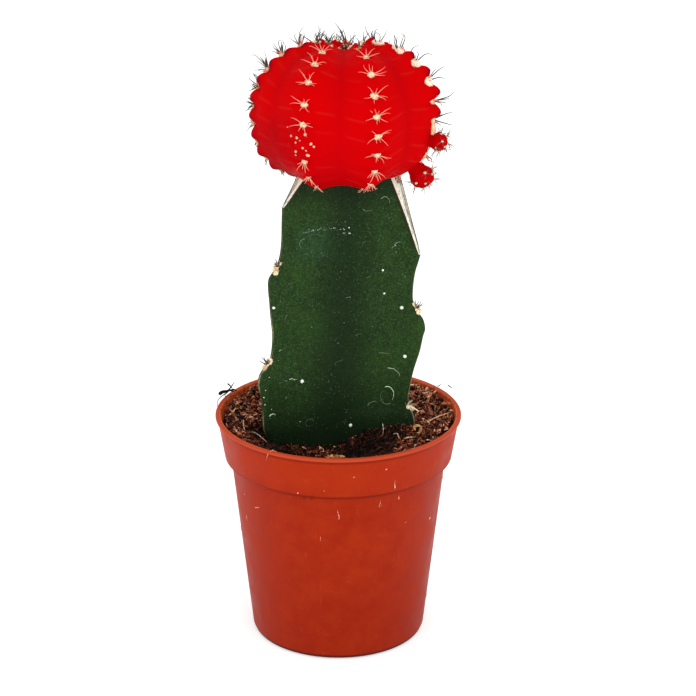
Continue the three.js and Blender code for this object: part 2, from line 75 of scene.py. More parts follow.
POT_LIP = 0.5
POT_LIP_HEIGHT = 0.8
POT_BAND = {"foot_z": POT_HIGH.z - 10.3, "foot": 25.5, "top": 27, "body_top": 24.1}
POT_BASE = {"radius": 19.5, "rise": 0.9, "inner": 12.6, "floor": 1.2}
POT_HOLES = {"radius": 2, "ring": 8, "outer": 4}

SOIL_HEAP = {"x": 17, "y": -4, "height": 0.6, "spread": 8}
SOIL_HOLLOW = {"x": -4, "y": -13.5, "height": -5, "spread": 9}
# Height of the mix beside the stem, and how far out its crumbs and fibres lie.
SOIL_BY_STEM = 48.7
CRUMBS_REACH = 25.2
FIBRES_REACH = 25.4
# Where the crumbs are painted darker as painted shade of the stem and the front rim: strength, x, y, and how
# far it spreads in x and in y.
SHADED_MIX_SPOTS = [
    (1.4, -5, -19, 11, 6.5), (0.7, 7, -13.5, 6, 6), (1.1, -16.8, -7.5, 3.2, 3.5), (0.3, 15, -9, 6, 4.5),
]

# The stem's axis runs from its foot to its head. The wings meet at its core, and their margins are rounded.
STOCK_FOOT = Vector((-2.5, 1.2, 50))
STOCK_HEAD = Vector((1.1, 1, 105))
STOCK_CORE_FOOT = 9.3
STOCK_CORE = 7.9
STOCK_MARGIN = 0.9
# How far the whole stem is turned, in degrees, on top of each wing's own turn.
STOCK_TURNED = 12

# Each wing's reach from the stem's axis, from the soil up: (height, reach). An areole sits on the shelf where
# the reach falls back quickly, and a slanting cut takes the top of the wing off.
WINGS = [
    {
        "turn": -60,
        "reach": [
            (27, 11), (40, 14), (46, 15.6), (49, 17), (52.3, 18.7), (59.4, 19.9), (63.2, 21.1), (65.4, 20.8),
            (66.8, 19.6), (68.6, 17.9), (74, 17.8), (81.6, 19.2), (84.8, 19.8), (87.4, 19.7), (89, 18.2),
            (91, 17.2), (95, 16.8), (99.4, 16.9), (106.7, 17.2),
        ],
        "areoles": [67.4, 89.4],
        "cut": {"z": 102.8, "reach": 17, "lean": 38, "twist": -30},
    },
    {
        "turn": 60,
        "reach": [
            (27, 11), (40, 15), (47, 19.4), (51, 20.3), (53.6, 19.7), (55.2, 18.5), (57.8, 18.4),
            (60.2, 18.7), (64.2, 19.2), (68.5, 20.1), (72, 20.6), (73.6, 20.9), (75.8, 20.3), (77.4, 18.9),
            (79.4, 17.8), (81.8, 17.5), (86, 17.7), (90.3, 18.4), (106.7, 18.8),
        ],
        "areoles": [55.2, 78],
        "cut": {"z": 90.3, "reach": 18.4, "lean": 18.5, "twist": 0},
    },
    {
        "turn": 180,
        "reach": [
            (27, 11), (40, 14.5), (47, 17.8), (52, 19.2), (56.5, 20.5), (59, 20.3), (60.6, 19), (62.4, 18),
            (66, 18), (72, 18.8), (78.5, 20.1), (81.2, 19.8), (82.8, 18.6), (84.6, 17.6), (90, 17.4),
            (97, 17.7), (106.7, 17.9),
        ],
        "areoles": [61.6, 83.8],
        "cut": {"z": 96, "reach": 17.7, "lean": 25.5, "twist": 5},
    },
]

# The scion is a square-shouldered ball, flatter below its middle than above, with furrows between its ribs.
# Its crown leans back and fans out round a hollow.
SCION_MIDDLE = Vector((1.4, 0, 120.3))
SCION_BOTTOM = 107
SCION_RADIUS = 18.9
SCION_RISE = 14.9
SCION_FALL = 14.1
SQUARENESS = 2.7
FURROW = 1.1
FURROW_SHAPE = 1.3
CROWN = {"back": 7.3, "fan": 14, "depth": 2.2, "spread": 4.2}
AREOLE_STEP = 4
FIRST_AREOLE = 2.15
CHIN_WIDTH = 0.25
CHIN_PEAK = 0.6
IRREGULAR = 0.45

# The ribs stand unevenly: turn in degrees, how far the chins stand out, the share of that which young chins
# near the crown have, the distance down the crest where they are full-grown, how far the areoles are shifted
# down, and the distance down the crest where the chins end.
Rib = namedtuple("Rib", "turn chin young ripe shift fade", defaults=[99])
RIBS = [
    Rib(20.5, 1.2, 1, 21, 1.55),
    Rib(75, 2.1, 0.2, 15, 1.5, 28),
    Rib(127, 1.8, 0.5, 15, -0.9),
    Rib(178, 1.7, 0.8, 21, 0.9),
    Rib(228, 1.8, 0.6, 21, -0.6),
    Rib(272, 1.35, 0.5, 21, -0.6),
    Rib(333, 1.2, 1, 21, -0.65),
]
FRONT_RIBS = (0, 6)
RIGHT_RIB = 1
LEFT_RIB = 5
SIDE_RIBS = (RIGHT_RIB, LEFT_RIB)
# Areoles whose wool is brown: rib and areole.
BROWN_PADS = ((0, 1), (2, 0), (6, 0))
# The turn from one bud or spine to the next where they grow in a spiral, in radians.
SPIRAL = 2.4

# Young offsets: rib, areole, radius, how far the middle stands off the crest and up it, how many buds they
# carry, and whether those bear wool and spines.
Offset = namedtuple("Offset", "rib areole radius out up buds spiny")
OFFSETS = [
    Offset(1, 7, 2, 1.75, -0.5, 12, True),
    Offset(1, 9, 2.6, 2.5, 0.45, 14, True),
    Offset(6, 7, 2.7, -1.9, 0, 18, False),
    Offset(5, 0, 1.7, 0.4, 0, 9, True),
]

# Pale buds round the offset that is sunk in its rib: how far across and down from its middle, and their size.
SUNK_BUDS = [
    (-2.3, -1.3, 0.324), (-0.7, -1.4, 0.324), (0.9, -2.25, 0.3), (-0.95, -0.1, 0.264), (0.2, 0.6, 0.3),
    (1.6, -0.2, 0.324), (2.3, 0.4, 0.264), (-1.1, 1.7, 0.324), (1.3, 2.1, 0.36), (-0.3, -0.8, 0.168),
    (-3.4, -2.9, 0.156), (0.9, 1.2, 0.168), (-1.2, 2.5, 0.18),
]

# An areole's spines: angle from straight up towards the right, length, and lift off the skin.
SPRAY = [
    (-52, 3.6, 0.35), (-31, 2.8, 0.5), (-98, 3.6, 0.3), (-148, 2.3, 0.35), (172, 1.7, 0.4), (128, 3.2, 0.3),
    (94, 3.3, 0.3), (62, 3.7, 0.4), (14, 2.0, 0.7),
]
# Long spines at the growing point: foot, lean and turn in degrees, and length.
TALL_SPINES = [(-1.7, 0, 17, 90, 5.6), (0.6, -0.8, 20, -60, 4.2), (1.2, 1, 24, 150, 4.4)]


# ---------------------------------------------------------------- settings


def length(name, description, value):
    """A length setting, given in millimetres."""
    return FloatProperty(
        name=name, description=description, default=value * MM, min=0, precision=5, unit="LENGTH",
        subtype="DISTANCE",
    )


def colour(name, description, value):
    return FloatVectorProperty(
        name=name, description=description, default=value, size=3, min=0, max=1, subtype="COLOR"
    )


def share(name, description, value):
    return FloatProperty(name=name, description=description, default=value, min=0, max=1, subtype="FACTOR")


def number(name, description, value):
    return IntProperty(name=name, description=description, default=value, min=0)


class PotSettings(PropertyGroup):
    """Sizes and colours of the pot"""

    rim_radius: length("Rim radius", "Outer radius of the lip", POT_HIGH.x)
    height: length("Height", "From the table to the top of the lip", POT_HIGH.z)
    wall: length("Wall", "Thickness of the moulded wall", 0.75)
    steps: number("Steps", "Facets round the pot", 176)
    plastic: colour("Plastic", "Colour of the moulded plastic", (0.300, 0.0145, 0.0012))
    light_plastic: colour("Rubbed plastic", "Colour of the paler, rubbed patches", (0.345, 0.0225, 0.0030))
    roughness: share("Roughness", "How matt the plastic is", 0.46)
    stray_fibres: number("Stray fibres", "Fibres and flecks stuck to the outside", 40)


class SoilSettings(PropertyGroup):
    """Sizes and colours of the potting mix"""

    level: length("Level", "Height of the mix's surface above the table", 50.1)
    crumbs: number("Crumbs", "Crumbs of peat and coir on the surface", 9000)
    fibres: number("Fibres", "Coir fibres on the surface", 2600)
    dark: colour("Wet peat", "Colour of the darkest crumbs", (0.006, 0.003, 0.002))
    brown: colour("Peat", "Colour of most crumbs", (0.095, 0.022, 0.010))
    orange: colour("Coir", "Colour of the palest crumbs", (0.43, 0.115, 0.050))
    straw: colour("Straw", "Colour of dry fibres", (0.78, 0.40, 0.24))


class StockSettings(PropertyGroup):
    """Colours of the rootstock"""

    skin: colour("Skin", "Colour of most of the skin", (0.0115, 0.0285, 0.0070))
    young_skin: colour("Young skin", "Colour of the paler patches and lobes", (0.026, 0.066, 0.011))
    bloom: colour("Bloom", "Colour of the dusty, bluish patches", (0.020, 0.060, 0.030))
    shade: colour("Shaded skin", "Colour of the folds and the foot", (0.0055, 0.0125, 0.0050))
    horn: colour("Horny edge", "Colour of the dry line along each wing", (0.42, 0.36, 0.19))
    flesh: colour("Cut flesh", "Colour of the dried cuts", (0.93, 0.95, 0.78))
    vein: colour("Dried veins", "Colour of the streaks in the cuts", (0.10, 0.10, 0.065))


class ScionSettings(PropertyGroup):
    """Sizes and colours of the scion"""

    spine_radius: length("Spine radius", "At the foot of a spine", 0.13)
    spine_stretch: FloatProperty(
        name="Spine stretch", description="Multiplies the length of every spine", default=1.0, min=0.1
    )
    pad_hairs: number("Pad hairs", "Fine hairs on each wool pad", 46)
    red: colour("Red", "Colour of the flesh in the light", (0.545, 0.0002, 0.0010))
    # crimson is the painted shade of the flesh low on the left and in the upper furrows, and the young
    # offsets' deeper red
    crimson: colour("Crimson", "Colour of the flesh low down and in the furrows", (0.30, 0.0006, 0.0035))
    scar: colour("Corky scar", "Colour of the dry specks on the flesh", (0.62, 0.10, 0.075))
    wool: colour("Wool", "Colour of the felt pads", (0.92, 0.80, 0.58))
    spine: colour("Spine", "Colour of the spines towards the foot", (0.90, 0.62, 0.42))
    # painted light: spines over the flesh take the red light of the flesh that shows through them
    red_lit_spine: colour("Flushed spine", "Colour of the spines that lie over the flesh", (0.88, 0.20, 0.14))
    spine_tip: colour("Spine tip", "Colour of old spines' outer ends", (0.012, 0.013, 0.016))


class StageSettings(PropertyGroup):
    """The floor, the lights and the camera"""

    floor: colour("Floor", "Colour of the floor", (0.84, 0.84, 0.84))
    sky: FloatProperty(name="Sky", description="Strength of the light from all sides", default=1.0, min=0)
    key: FloatProperty(name="Key", description="Power of the front light", default=2.2, min=0, unit="POWER")
    distance: length("Camera distance", "In front of the pot's middle", 500)
    camera_height: length("Camera height", "Above the table", 255.5)
    pitch: FloatProperty(
        name="Pitch", description="Camera's tilt up from straight down", default=math.radians(69.36),
        subtype="ANGLE", unit="ROTATION",
    )
    lens: FloatProperty(name="Lens", description="Focal length", default=124.7, unit="CAMERA")
    shift: FloatProperty(name="Shift", description="Sideways shift, in sensor widths", default=0.0139)


# ---------------------------------------------------------------- arithmetic


def lerp(a, b, t):
    return a + (b - a) * t


def clamp(value, low=0.0, high=1.0):
    return min(max(value, low), high)


def smoothstep(value, low, high):
    t = clamp((value - low) / (high - low))
    return t * t * (3 - 2 * t)


def outwards(turn):
    return Vector((math.sin(turn), -math.cos(turn), 0))


def rough(point, size, seed=0.0):
    """Smooth noise from -1 to 1 with bumps of the given size."""
    return noise.noise(Vector(point) / size + Vector((seed, seed * 0.7, seed * 1.3)))


def curve_at(points, x):
    """A smooth curve through (x, y) points, read at x."""
    last = len(points) - 1
    i = clamp(bisect_left([p[0] for p in points], x) - 1, 0, last - 1)
    before, start, end, after = (points[clamp(k, 0, last)] for k in (i - 1, i, i + 1, i + 2))

    def slope(a, b):
        return (b[1] - a[1]) / max(b[0] - a[0], 1e-6)

    span = end[0] - start[0]
    t = clamp((x - start[0]) / span)
    return (
        (2 * t**3 - 3 * t**2 + 1) * start[1]
        + (t**3 - 2 * t**2 + t) * slope(before, end) * span
        + (3 * t**2 - 2 * t**3) * end[1]
        + (t**3 - t**2) * slope(start, after) * span
    )


def along_points(points, t):
    """A point on the smooth curve through evenly timed points, from t = 0 to 1."""
    last = len(points) - 1
    i = min(int(t * last), last - 1)
    f = t * last - i
    a, b, c, d = (points[clamp(k, 0, last)] for k in (i - 1, i, i + 1, i + 2))
    return 0.5 * (2 * b + (c - a) * f + (2 * a - 5 * b + 4 * c - d) * f**2 + (3 * b - a - 3 * c + d) * f**3)


# ---------------------------------------------------------------- meshes


def weave(count, rings, sides, place, paint=None):
    """Closes one sheet of cells into `count` tubes, each of some rings and sides.

    place(item, along, around) gives a vertex's point, and paint, where there is one, its tint. along and
    around run from 0 to 1. A tube's ends close where place gathers the first or the last ring in one point.
    """
    bm = bmesh.new()
    bm.loops.layers.uv.new("UVMap")
    tint = bm.verts.layers.float_color.new("tint")
    bmesh.ops.create_grid(bm, x_segments=sides, y_segments=count * (rings + 1) - 1, size=1, calc_uvs=True)
    for i, vert in enumerate(bm.verts):
        row, column = divmod(i, sides + 1)
        item, ring = divmod(row, rings + 1)
        spot = (item, ring / rings, (column % sides) / sides)
        vert.co = place(*spot)
        vert[tint] = (*paint(*spot), 1) if paint else (1, 1, 1, 1)
    links = [face for i, face in enumerate(bm.faces) if (i // sides + 1) % (rings + 1) == 0]
    bmesh.ops.delete(bm, geom=links, context="FACES")
    bmesh.ops.remove_doubles(bm, verts=bm.verts, dist=2e-5)
    bmesh.ops.recalc_face_normals(bm, faces=bm.faces)
    return bm


Strand = namedtuple("Strand", "points radius root_tint tip_tint")


def thickness(t, blunt):
    """The share of a strand's radius at t: none at the ends, and less towards the tip unless it is blunt."""
    if not 0 < t < 1:
        return 0
    return math.sin(math.pi * t) ** 0.4 if blunt else (1 - t) ** 0.4 * (1 - 0.3 * t)


def roll(strands, rings, sides, blunt=False):
    """Spines, hairs and fibres: a thin closed tube along each strand."""
    frames = []
    for strand in strands:
        side = (strand.points[-1] - strand.points[0]).orthogonal().normalized()
        rows = []
        for i in range(rings + 1):
            t = i / rings
            ahead, behind = min(t + 0.05, 1), max(t - 0.05, 0)
            tangent = along_points(strand.points, ahead) - along_points(strand.points, behind)
            across = tangent.cross(side).normalized()
            beside = tangent.cross(across).normalized()
            rows.append((along_points(strand.points, t), across, beside, strand.radius * thickness(t, blunt)))
        frames.append(rows)

    def place(item, along, around):
        centre, across, beside, reach = frames[item][round(along * rings)]
        angle = 2 * math.pi * around
        return centre + reach * (math.cos(angle) * across + math.sin(angle) * beside)

    def paint(item, along, around):
        return Vector(strands[item].root_tint).lerp(Vector(strands[item].tip_tint), along)

    return weave(len(strands), rings, sides, place, paint)


def blobs(spots, rings=6, sides=8):
    """Rough pebble shapes. A spot is (middle, three half axes, roughness, tint)."""

    def place(item, along, around):
        middle, axes, jitter, _ = spots[item]
        polar, angle = math.pi * along, 2 * math.pi * around
        ball = Vector((math.sin(polar) * math.cos(angle), math.sin(polar) * math.sin(angle), math.cos(polar)))
        ball *= 1 + jitter * rough(ball + Vector((item * 1.7, 0, 0)), 0.55)
        return middle + ball.x * axes[0] + ball.y * axes[1] + ball.z * axes[2]

    return weave(len(spots), rings, sides, place, lambda item, along, around: spots[item][3])


def finish_piece(bm, name, materials, stands_for=None, smooth=True):
    """Turns a bmesh into a piece of the plant that rides on the part's one body."""
    bmesh.ops.transform(bm, matrix=Matrix.Scale(MM, 4), verts=bm.verts)
    for face in bm.faces:
        face.smooth = smooth
    mesh = bpy.data.meshes.new(name)
    bm.to_mesh(mesh)
    bm.free()
    for material in materials:
        mesh.materials.append(material)
    piece = bpy.data.objects.new(name, mesh)
    bpy.context.scene.collection.objects.link(piece)
    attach(piece, "root")
    if stands_for:
        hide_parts(stands_for)
    return piece


# ---------------------------------------------------------------- materials


class Finish:
    """A material and short calls for the nodes that make its pattern."""

    def __init__(self, name, specular, roughness=0.5):
        self.material = bpy.data.materials.new(name)
        self.material.use_nodes = True
        self.tree = self.material.node_tree
        self.shader = self.tree.nodes["Principled BSDF"]
        self.shader.inputs["Roughness"].default_value = roughness
        self.shader.inputs["Specular IOR Level"].default_value = specular
        self.coordinates = self.tree.nodes.new("ShaderNodeTexCoord").outputs["Object"]

    def plug(self, value, socket):
        if isinstance(value, bpy.types.NodeSocket):
            self.tree.links.new(value, socket)
        elif hasattr(value, "__len__") and len(value) == 3 and socket.type == "RGBA":
            socket.default_value = (*value, 1)
        else:
            socket.default_value = value

    def node(self, kind, inputs, output=0, **settings):
        node = self.tree.nodes.new("ShaderNode" + kind)
        for name, value in settings.items():
            setattr(node, name, value)
        for key, value in inputs.items():
            self.plug(value, node.inputs[key])
        return node.outputs[output]

    def stretched(self, scale):
        """Object coordinates, stretched for a pattern with a grain."""
        return self.node("Mapping", {"Vector": self.coordinates, "Scale": scale})

    def noise(self, size, detail=3, roughness=0.55, distortion=0, vector=None):
        """Cloudy noise from 0 to 1, with clouds of a size in millimetres."""
        inputs = {
            "Vector": vector or self.coordinates, "Scale": 1 / (size * MM), "Detail": detail,
            "Roughness": roughness, "Distortion": distortion,
        }
        return self.node("TexNoise", inputs)

    def cells(self, size, vector=None):
        """Distance to the nearest of many scattered dots, in cells of a size in millimetres."""
        return self.node("TexVoronoi", {"Vector": vector or self.coordinates, "Scale": 1 / (size * MM)})

    def math(self, operation, a, b):
        return self.node("Math", {0: a, 1: b}, operation=operation)

    def times(self, first, *others):
        for other in others:
            first = self.math("MULTIPLY", first, other)
        return first

    def span(self, value, low, high, to_low=0.0, to_high=1.0):
        """A smooth step between two values."""
        inputs = {"Value": value, "From Min": low, "From Max": high, "To Min": to_low, "To Max": to_high}
        return self.node("MapRange", inputs, interpolation_type="SMOOTHSTEP")

    def band(self, value, start, full, fading, end):
        """A mask that rises from start to full and falls from fading to end."""
        return self.times(self.span(value, start, full), self.span(value, end, fading))

    def mix(self, factor, a, b, blend="MIX"):
        return self.node("Mix", {0: factor, 6: a, 7: b}, 2, data_type="RGBA", blend_type=blend)

    def layers(self, colour, *coats):
        """Lays coats over a colour, each a mask and the coat's own colour."""
        for mask, coat in coats:
            colour = self.mix(mask, colour, coat)
        return colour

    def tint(self):
        return self.node("Attribute", {}, "Color", attribute_name="tint")

    def masks(self):
        """The three masks that a mesh's tint carries."""
        split = self.tree.nodes.new("ShaderNodeSeparateColor")
        self.tree.links.new(self.tint(), split.inputs[0])
        return split.outputs[0], split.outputs[1], split.outputs[2]

    def axes(self):
        split = self.tree.nodes.new("ShaderNodeSeparateXYZ")
        self.tree.links.new(self.coordinates, split.inputs[0])
        return split.outputs[0], split.outputs[1], split.outputs[2]

    def bump(self, height, depth, under=None):
        """Raises the surface by a height pattern, by a depth in millimetres."""
        inputs = {"Height": height, "Distance": depth * MM}
        if under:
            inputs["Normal"] = under
        return self.node("Bump", inputs)

    def done(self, **sockets):
        for name, value in sockets.items():
            self.plug(value, self.shader.inputs[name.replace("_", " ")])
        return self.material


def plastic_finish(pot):
    """Moulded polypropylene: paler patches, scuffs and fine grain, with painted light and shade: darker
    towards the foot, a lighter band, a painted highlight along the lip and painted shadow under the lip,
    under the band and at the foot.
    """
    shaded_foot, painted_band_light = (0.15, 0.005, 0.001), (0.40, 0.026, 0.003)
    scuffed, smudged, stained = (0.44, 0.055, 0.018), (0.46, 0.065, 0.030), (0.17, 0.006, 0.001)
    # rubbed holds the colour of the painted highlight along the lip; the next two are painted shadow under
    # the lip and under the band
    rubbed, painted_shadow_under_lip, painted_shadow_under_band = (0.50, 0.062, 0.022), (0.12, 0.004, 0.001), (0.13, 0.004, 0.001)
    painted_contact_shadow, grimy = (0.045, 0.004, 0.002), (0.13, 0.008, 0.002)

    look = Finish("terracotta_plastic", specular=0.045)
    _, _, z = look.axes()
    lip, band = (POT_HIGH.z - POT_LIP_HEIGHT) * MM, POT_BAND["foot_z"] * MM
    patches = look.span(look.noise(5, detail=5, roughness=0.65), 0.3, 0.7)
    clouds = look.mix(patches, pot.plastic, pot.light_plastic)
    # painted shade: the plastic is painted darker towards the foot; painted light: the band is painted
    # lighter
    body = look.mix(look.span(z, 0.004, 0.034, 0.24, 0), clouds, shaded_foot)
    lit_and_shaded_body = look.mix(look.span(z, 0.040, 0.046), body, look.mix(0.5, clouds, painted_band_light))
    scuffs = look.noise(0.9, detail=4, vector=look.stretched((1, 1, 0.09)))
    smudges = look.noise(1.4, detail=5, roughness=0.7, distortion=1.2, vector=look.stretched((0.6, 0.6, 1.6)))
    grime = look.cells(2.6, vector=look.stretched((1, 1, 0.7)))
    # scuffs, smudges, stains and grime, with a painted highlight on the lip and painted shadow under the lip,
    # under the band and at the foot
    wear_and_painted_light = look.layers(
        lit_and_shaded_body,
        (look.span(scuffs, 0.63, 0.74, 0, 0.3), scuffed),
        (look.span(smudges, 0.60, 0.70, 0, 0.28), smudged),
        (look.span(smudges, 0.38, 0.30, 0, 0.25), stained),
        # painted highlight along the top of the lip
        (look.times(look.span(z, lip - 0.0001, lip + 0.0003), 0.85), rubbed),
        # painted shadow just under the lip and round the foot of the band
        (look.times(look.band(z, lip - 0.0009, lip - 0.0003, lip - 0.0001, lip + 0.0002), 0.45), painted_shadow_under_lip),
        (look.times(look.band(z, band - 0.0006, band, band + 0.0005, band + 0.0009), 0.65), painted_shadow_under_band),
        # painted contact shadow along the lowest edge of the pot
        (look.span(z, 0.0014, 0.0005, 0, 0.92), painted_contact_shadow),
        (look.span(grime, 0.0, 0.075, 0.4, 0), grimy),
    )
    grain = look.bump(look.noise(0.22, detail=2), 0.012)
    waves = look.bump(look.noise(7, detail=1), 0.12, under=grain)
    gloss = look.span(look.noise(5, detail=3), 0.3, 0.7, pot.roughness - 0.07, pot.roughness + 0.08)
    return look.done(Base_Color=wear_and_painted_light, Normal=waves, Roughness=gloss)


def inside_finish():
    """The thin wall's inside, dusted with mix. Its colour is painted light: brighter than the outside, for
    the light that comes through the thin wall.
    """
    look = Finish("terracotta_inside", roughness=0.6, specular=0.03)
    # painted light: the bright tone stands for light through the wall, and the dark patches are dust of the
    # mix
    dusty = look.mix(look.span(look.noise(0.9, detail=4), 0.5, 0.7), (0.80, 0.14, 0.04), (0.25, 0.05, 0.018))
    return look.done(Base_Color=dusty)


def mix_finish(soil):
    """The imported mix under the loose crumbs."""
    look = Finish("packed_mix", roughness=0.95, specular=0.1)
    clumps = look.mix(look.span(look.noise(1.1, detail=5), 0.45, 0.75), soil.dark, soil.brown)
    return look.done(Base_Color=clumps, Normal=look.bump(look.noise(0.5, detail=4), 0.35))


def crumb_finish(name):
    """Crumbs, chips and fibres, each with its own tint."""
    look = Finish(name, roughness=0.88, specular=0.12)
    grains = look.span(look.noise(0.35, detail=4), 0.28, 0.72, 0.12, 1.9)
    shaded = look.mix(1.0, look.tint(), grains, "MULTIPLY")
    return look.done(Base_Color=shaded, Normal=look.bump(look.noise(0.2, detail=3), 0.08))


def stem_finish(stock):
    """Waxy green skin: dusty blooms, paler lobes and hundreds of pale dots. The paler lobes are painted more
    on the right and higher up, as painted light, and painted shade darkens the fold down each face, the foot
    and the top under the scion.
    """
    stippled, dotted = (0.045, 0.105, 0.030), (0.21, 0.31, 0.18)

    look = Finish("stem_skin", specular=0.05)
    margin, fold, foot = look.masks()
    x, _, z = look.axes()
    # paler patches of skin, painted more on the right and higher up as painted light
    young = look.times(
        look.span(look.noise(11, detail=3), 0.40, 0.70), look.span(x, 0.0, 0.016, 0.45, 1),
        look.span(z, 0.060, 0.082, 0.1, 1),
    )
    # a dusty, bluish patch high on the left, and a fainter one low on the same side
    high = look.times(
        look.band(x, -0.0105, -0.007, -0.003, 0.0005), look.band(z, 0.088, 0.0935, 0.097, 0.0995)
    )
    low = look.times(
        look.span(x, -0.004, -0.012, 0, 0.5), look.span(z, 0.076, 0.064),
        look.span(look.noise(9, detail=4, distortion=0.6), 0.5, 0.72),
    )
    dust = look.span(look.noise(1.6, detail=4), 0.3, 0.65, 0.2, 0.62)
    stipple = look.noise(0.36, detail=2)
    pits = look.noise(0.5, detail=2)
    fine_dots = look.span(look.cells(0.8), 0.08, 0.16, 0.4, 0)
    coarse_dots = look.span(look.cells(2.2), 0.035, 0.07, 0.75, 0)
    dots = look.times(
        look.math("MAXIMUM", fine_dots, coarse_dots), look.span(look.noise(4, detail=2), 0.35, 0.65, 0.25, 1)
    )
    green = look.layers(
        stock.skin,
        (young, stock.young_skin),
        (look.times(look.math("MAXIMUM", high, low), dust), stock.bloom),
        (look.span(look.noise(1.3, detail=5, roughness=0.75), 0.4, 0.68, 0, 0.5), stock.young_skin),
        (look.span(stipple, 0.48, 0.70, 0, 0.55), stippled),
        (look.span(pits, 0.46, 0.30, 0, 0.5), stock.shade),
        # painted shade in the fold down each face, near the soil and under the scion
        (fold, stock.shade),
        (foot, stock.shade),
        (dots, dotted),
        (look.times(margin, look.span(look.noise(0.9), 0.3, 0.6, 0.3, 1)), stock.horn),
    )
    skin = look.bump(look.noise(0.5, detail=4), 0.03)
    dents = look.bump(look.noise(4, detail=3), 0.25, under=skin)
    gloss = look.span(look.noise(6), 0.3, 0.7, 0.40, 0.56)
    return look.done(Base_Color=green, Normal=dents, Roughness=gloss)


def cut_finish(stock):
    """Dried cut flesh with a few dark veins along the cut."""
    yellowed = (0.84, 0.80, 0.56)

    look = Finish("cut_flesh", roughness=0.8, specular=0.1)
    streaks = look.noise(0.7, detail=3, distortion=0.4, vector=look.stretched((1, 1, 0.06)))
    streaked = look.layers(
        stock.flesh,
        (look.span(look.noise(2.2, detail=3), 0.45, 0.75), yellowed),
        (look.times(look.band(streaks, 0.55, 0.60, 0.62, 0.68), 0.8), stock.vein),
    )
    return look.done(Base_Color=streaked, Normal=look.bump(streaks, 0.2))


def flesh_finish(scion):
    """Taut, evenly red flesh with faint cross bands and a few corky specks, and painted shade: darker low on
    the left, on the left flank, in the upper furrows and under the side ribs' chins.
    """
    shaded, smeared, dusted = (0.085, 0.0, 0.008), (0.50, 0.06, 0.065), (0.42, 0.05, 0.055)

    look = Finish("scion_skin", roughness=0.6, specular=0.006)
    furrow, bands, depth = look.masks()
    x, _, z = look.axes()
    low = look.span(look.math("ADD", depth, look.times(look.noise(9, detail=3), 0.5)), 0.72, 1.3)
    left = look.span(x, 0.006, -0.014, 0.4, 1)
    left_flank = look.times(look.span(x, -0.004, -0.013), look.span(depth, 0.52, 0.80))
    upper = look.math("SUBTRACT", 1, depth)
    smear = look.times(
        look.band(x, -0.0104, -0.0090, -0.0078, -0.0066), look.band(z, 0.1065, 0.1085, 0.1115, 0.1140)
    )
    dust = look.times(look.span(look.noise(5, detail=4), 0.6, 0.74), look.span(depth, 0.88, 0.96))
    specks = look.times(look.span(look.cells(2.3), 0.035, 0.07, 0.7, 0), look.span(look.noise(6), 0.57, 0.68))
    red = look.layers(
        scion.red,
        # painted shade: crimson darkens the flesh low on the left, on the left flank and in the furrows of
        # the upper half
        (look.times(low, left), scion.crimson),
        (look.times(left_flank, 0.45), scion.crimson),
        (look.times(furrow, upper, 0.5), scion.crimson),
        (look.times(look.math("MAXIMUM", bands, 0), 0.07), scion.scar),
        # painted shade under the side ribs' chins
        (look.times(look.math("MINIMUM", bands, 0), -0.8), shaded),
        (look.times(smear, look.span(look.noise(0.8), 0.35, 0.65, 0.05, 0.36)), smeared),
        (look.times(dust, 0.45), dusted),
        (specks, scion.scar),
    )
    pores = look.bump(look.noise(0.3, detail=3), 0.02)
    return look.done(Base_Color=red, Normal=look.bump(look.noise(2.6, detail=3), 0.1, under=pores))


def wool_finish(name, shade):
    """Felt in one shade, browner where it is soiled, which takes on each tuft's own tint."""
    soiled = [part * kept for part, kept in zip(shade, (0.8, 0.66, 0.5))]
    look = Finish(name, roughness=0.95, specular=0.1)
    tufts = look.mix(look.span(look.noise(0.4, detail=4), 0.42, 0.72), shade, soiled)
    tinted = look.mix(1.0, tufts, look.tint(), "MULTIPLY")
    return look.done(Base_Color=tinted, Normal=look.bump(look.noise(0.16, detail=3), 0.08))


def spine_finish(name):
    """Horn that takes its colour from each spine's own tint."""
    look = Finish(name, roughness=0.5, specular=0.25)
    bands = look.span(look.noise(0.5, detail=2), 0.2, 0.8, 0.85, 1.1)
    return look.done(Base_Color=look.mix(1.0, look.tint(), bands, "MULTIPLY"))


# ---------------------------------------------------------------- pot


def inner_radius(z, wall=0.75):
    """The pot's inside, at a height above the table."""
    foot, top = POT_BAND["foot_z"], POT_HIGH.z
    if z < foot:
        return lerp(POT_BASE["radius"], POT_BAND["body_top"], z / foot) - wall
    band = lerp(POT_BAND["foot"], POT_BAND["top"], (z - foot) / (top - foot)) - wall
    return lerp(POT_BAND["body_top"] - wall, band, clamp(z - foot))


def outer_radius(z):
    """The pot's outside, up to the lip."""
    foot = POT_BAND["foot_z"]
    if z < foot:
        return lerp(POT_BASE["radius"], POT_BAND["body_top"], z / foot)
    return lerp(POT_BAND["foot"], POT_HIGH.x - POT_LIP, (z - foot) / (POT_HIGH.z - POT_LIP_HEIGHT - foot))


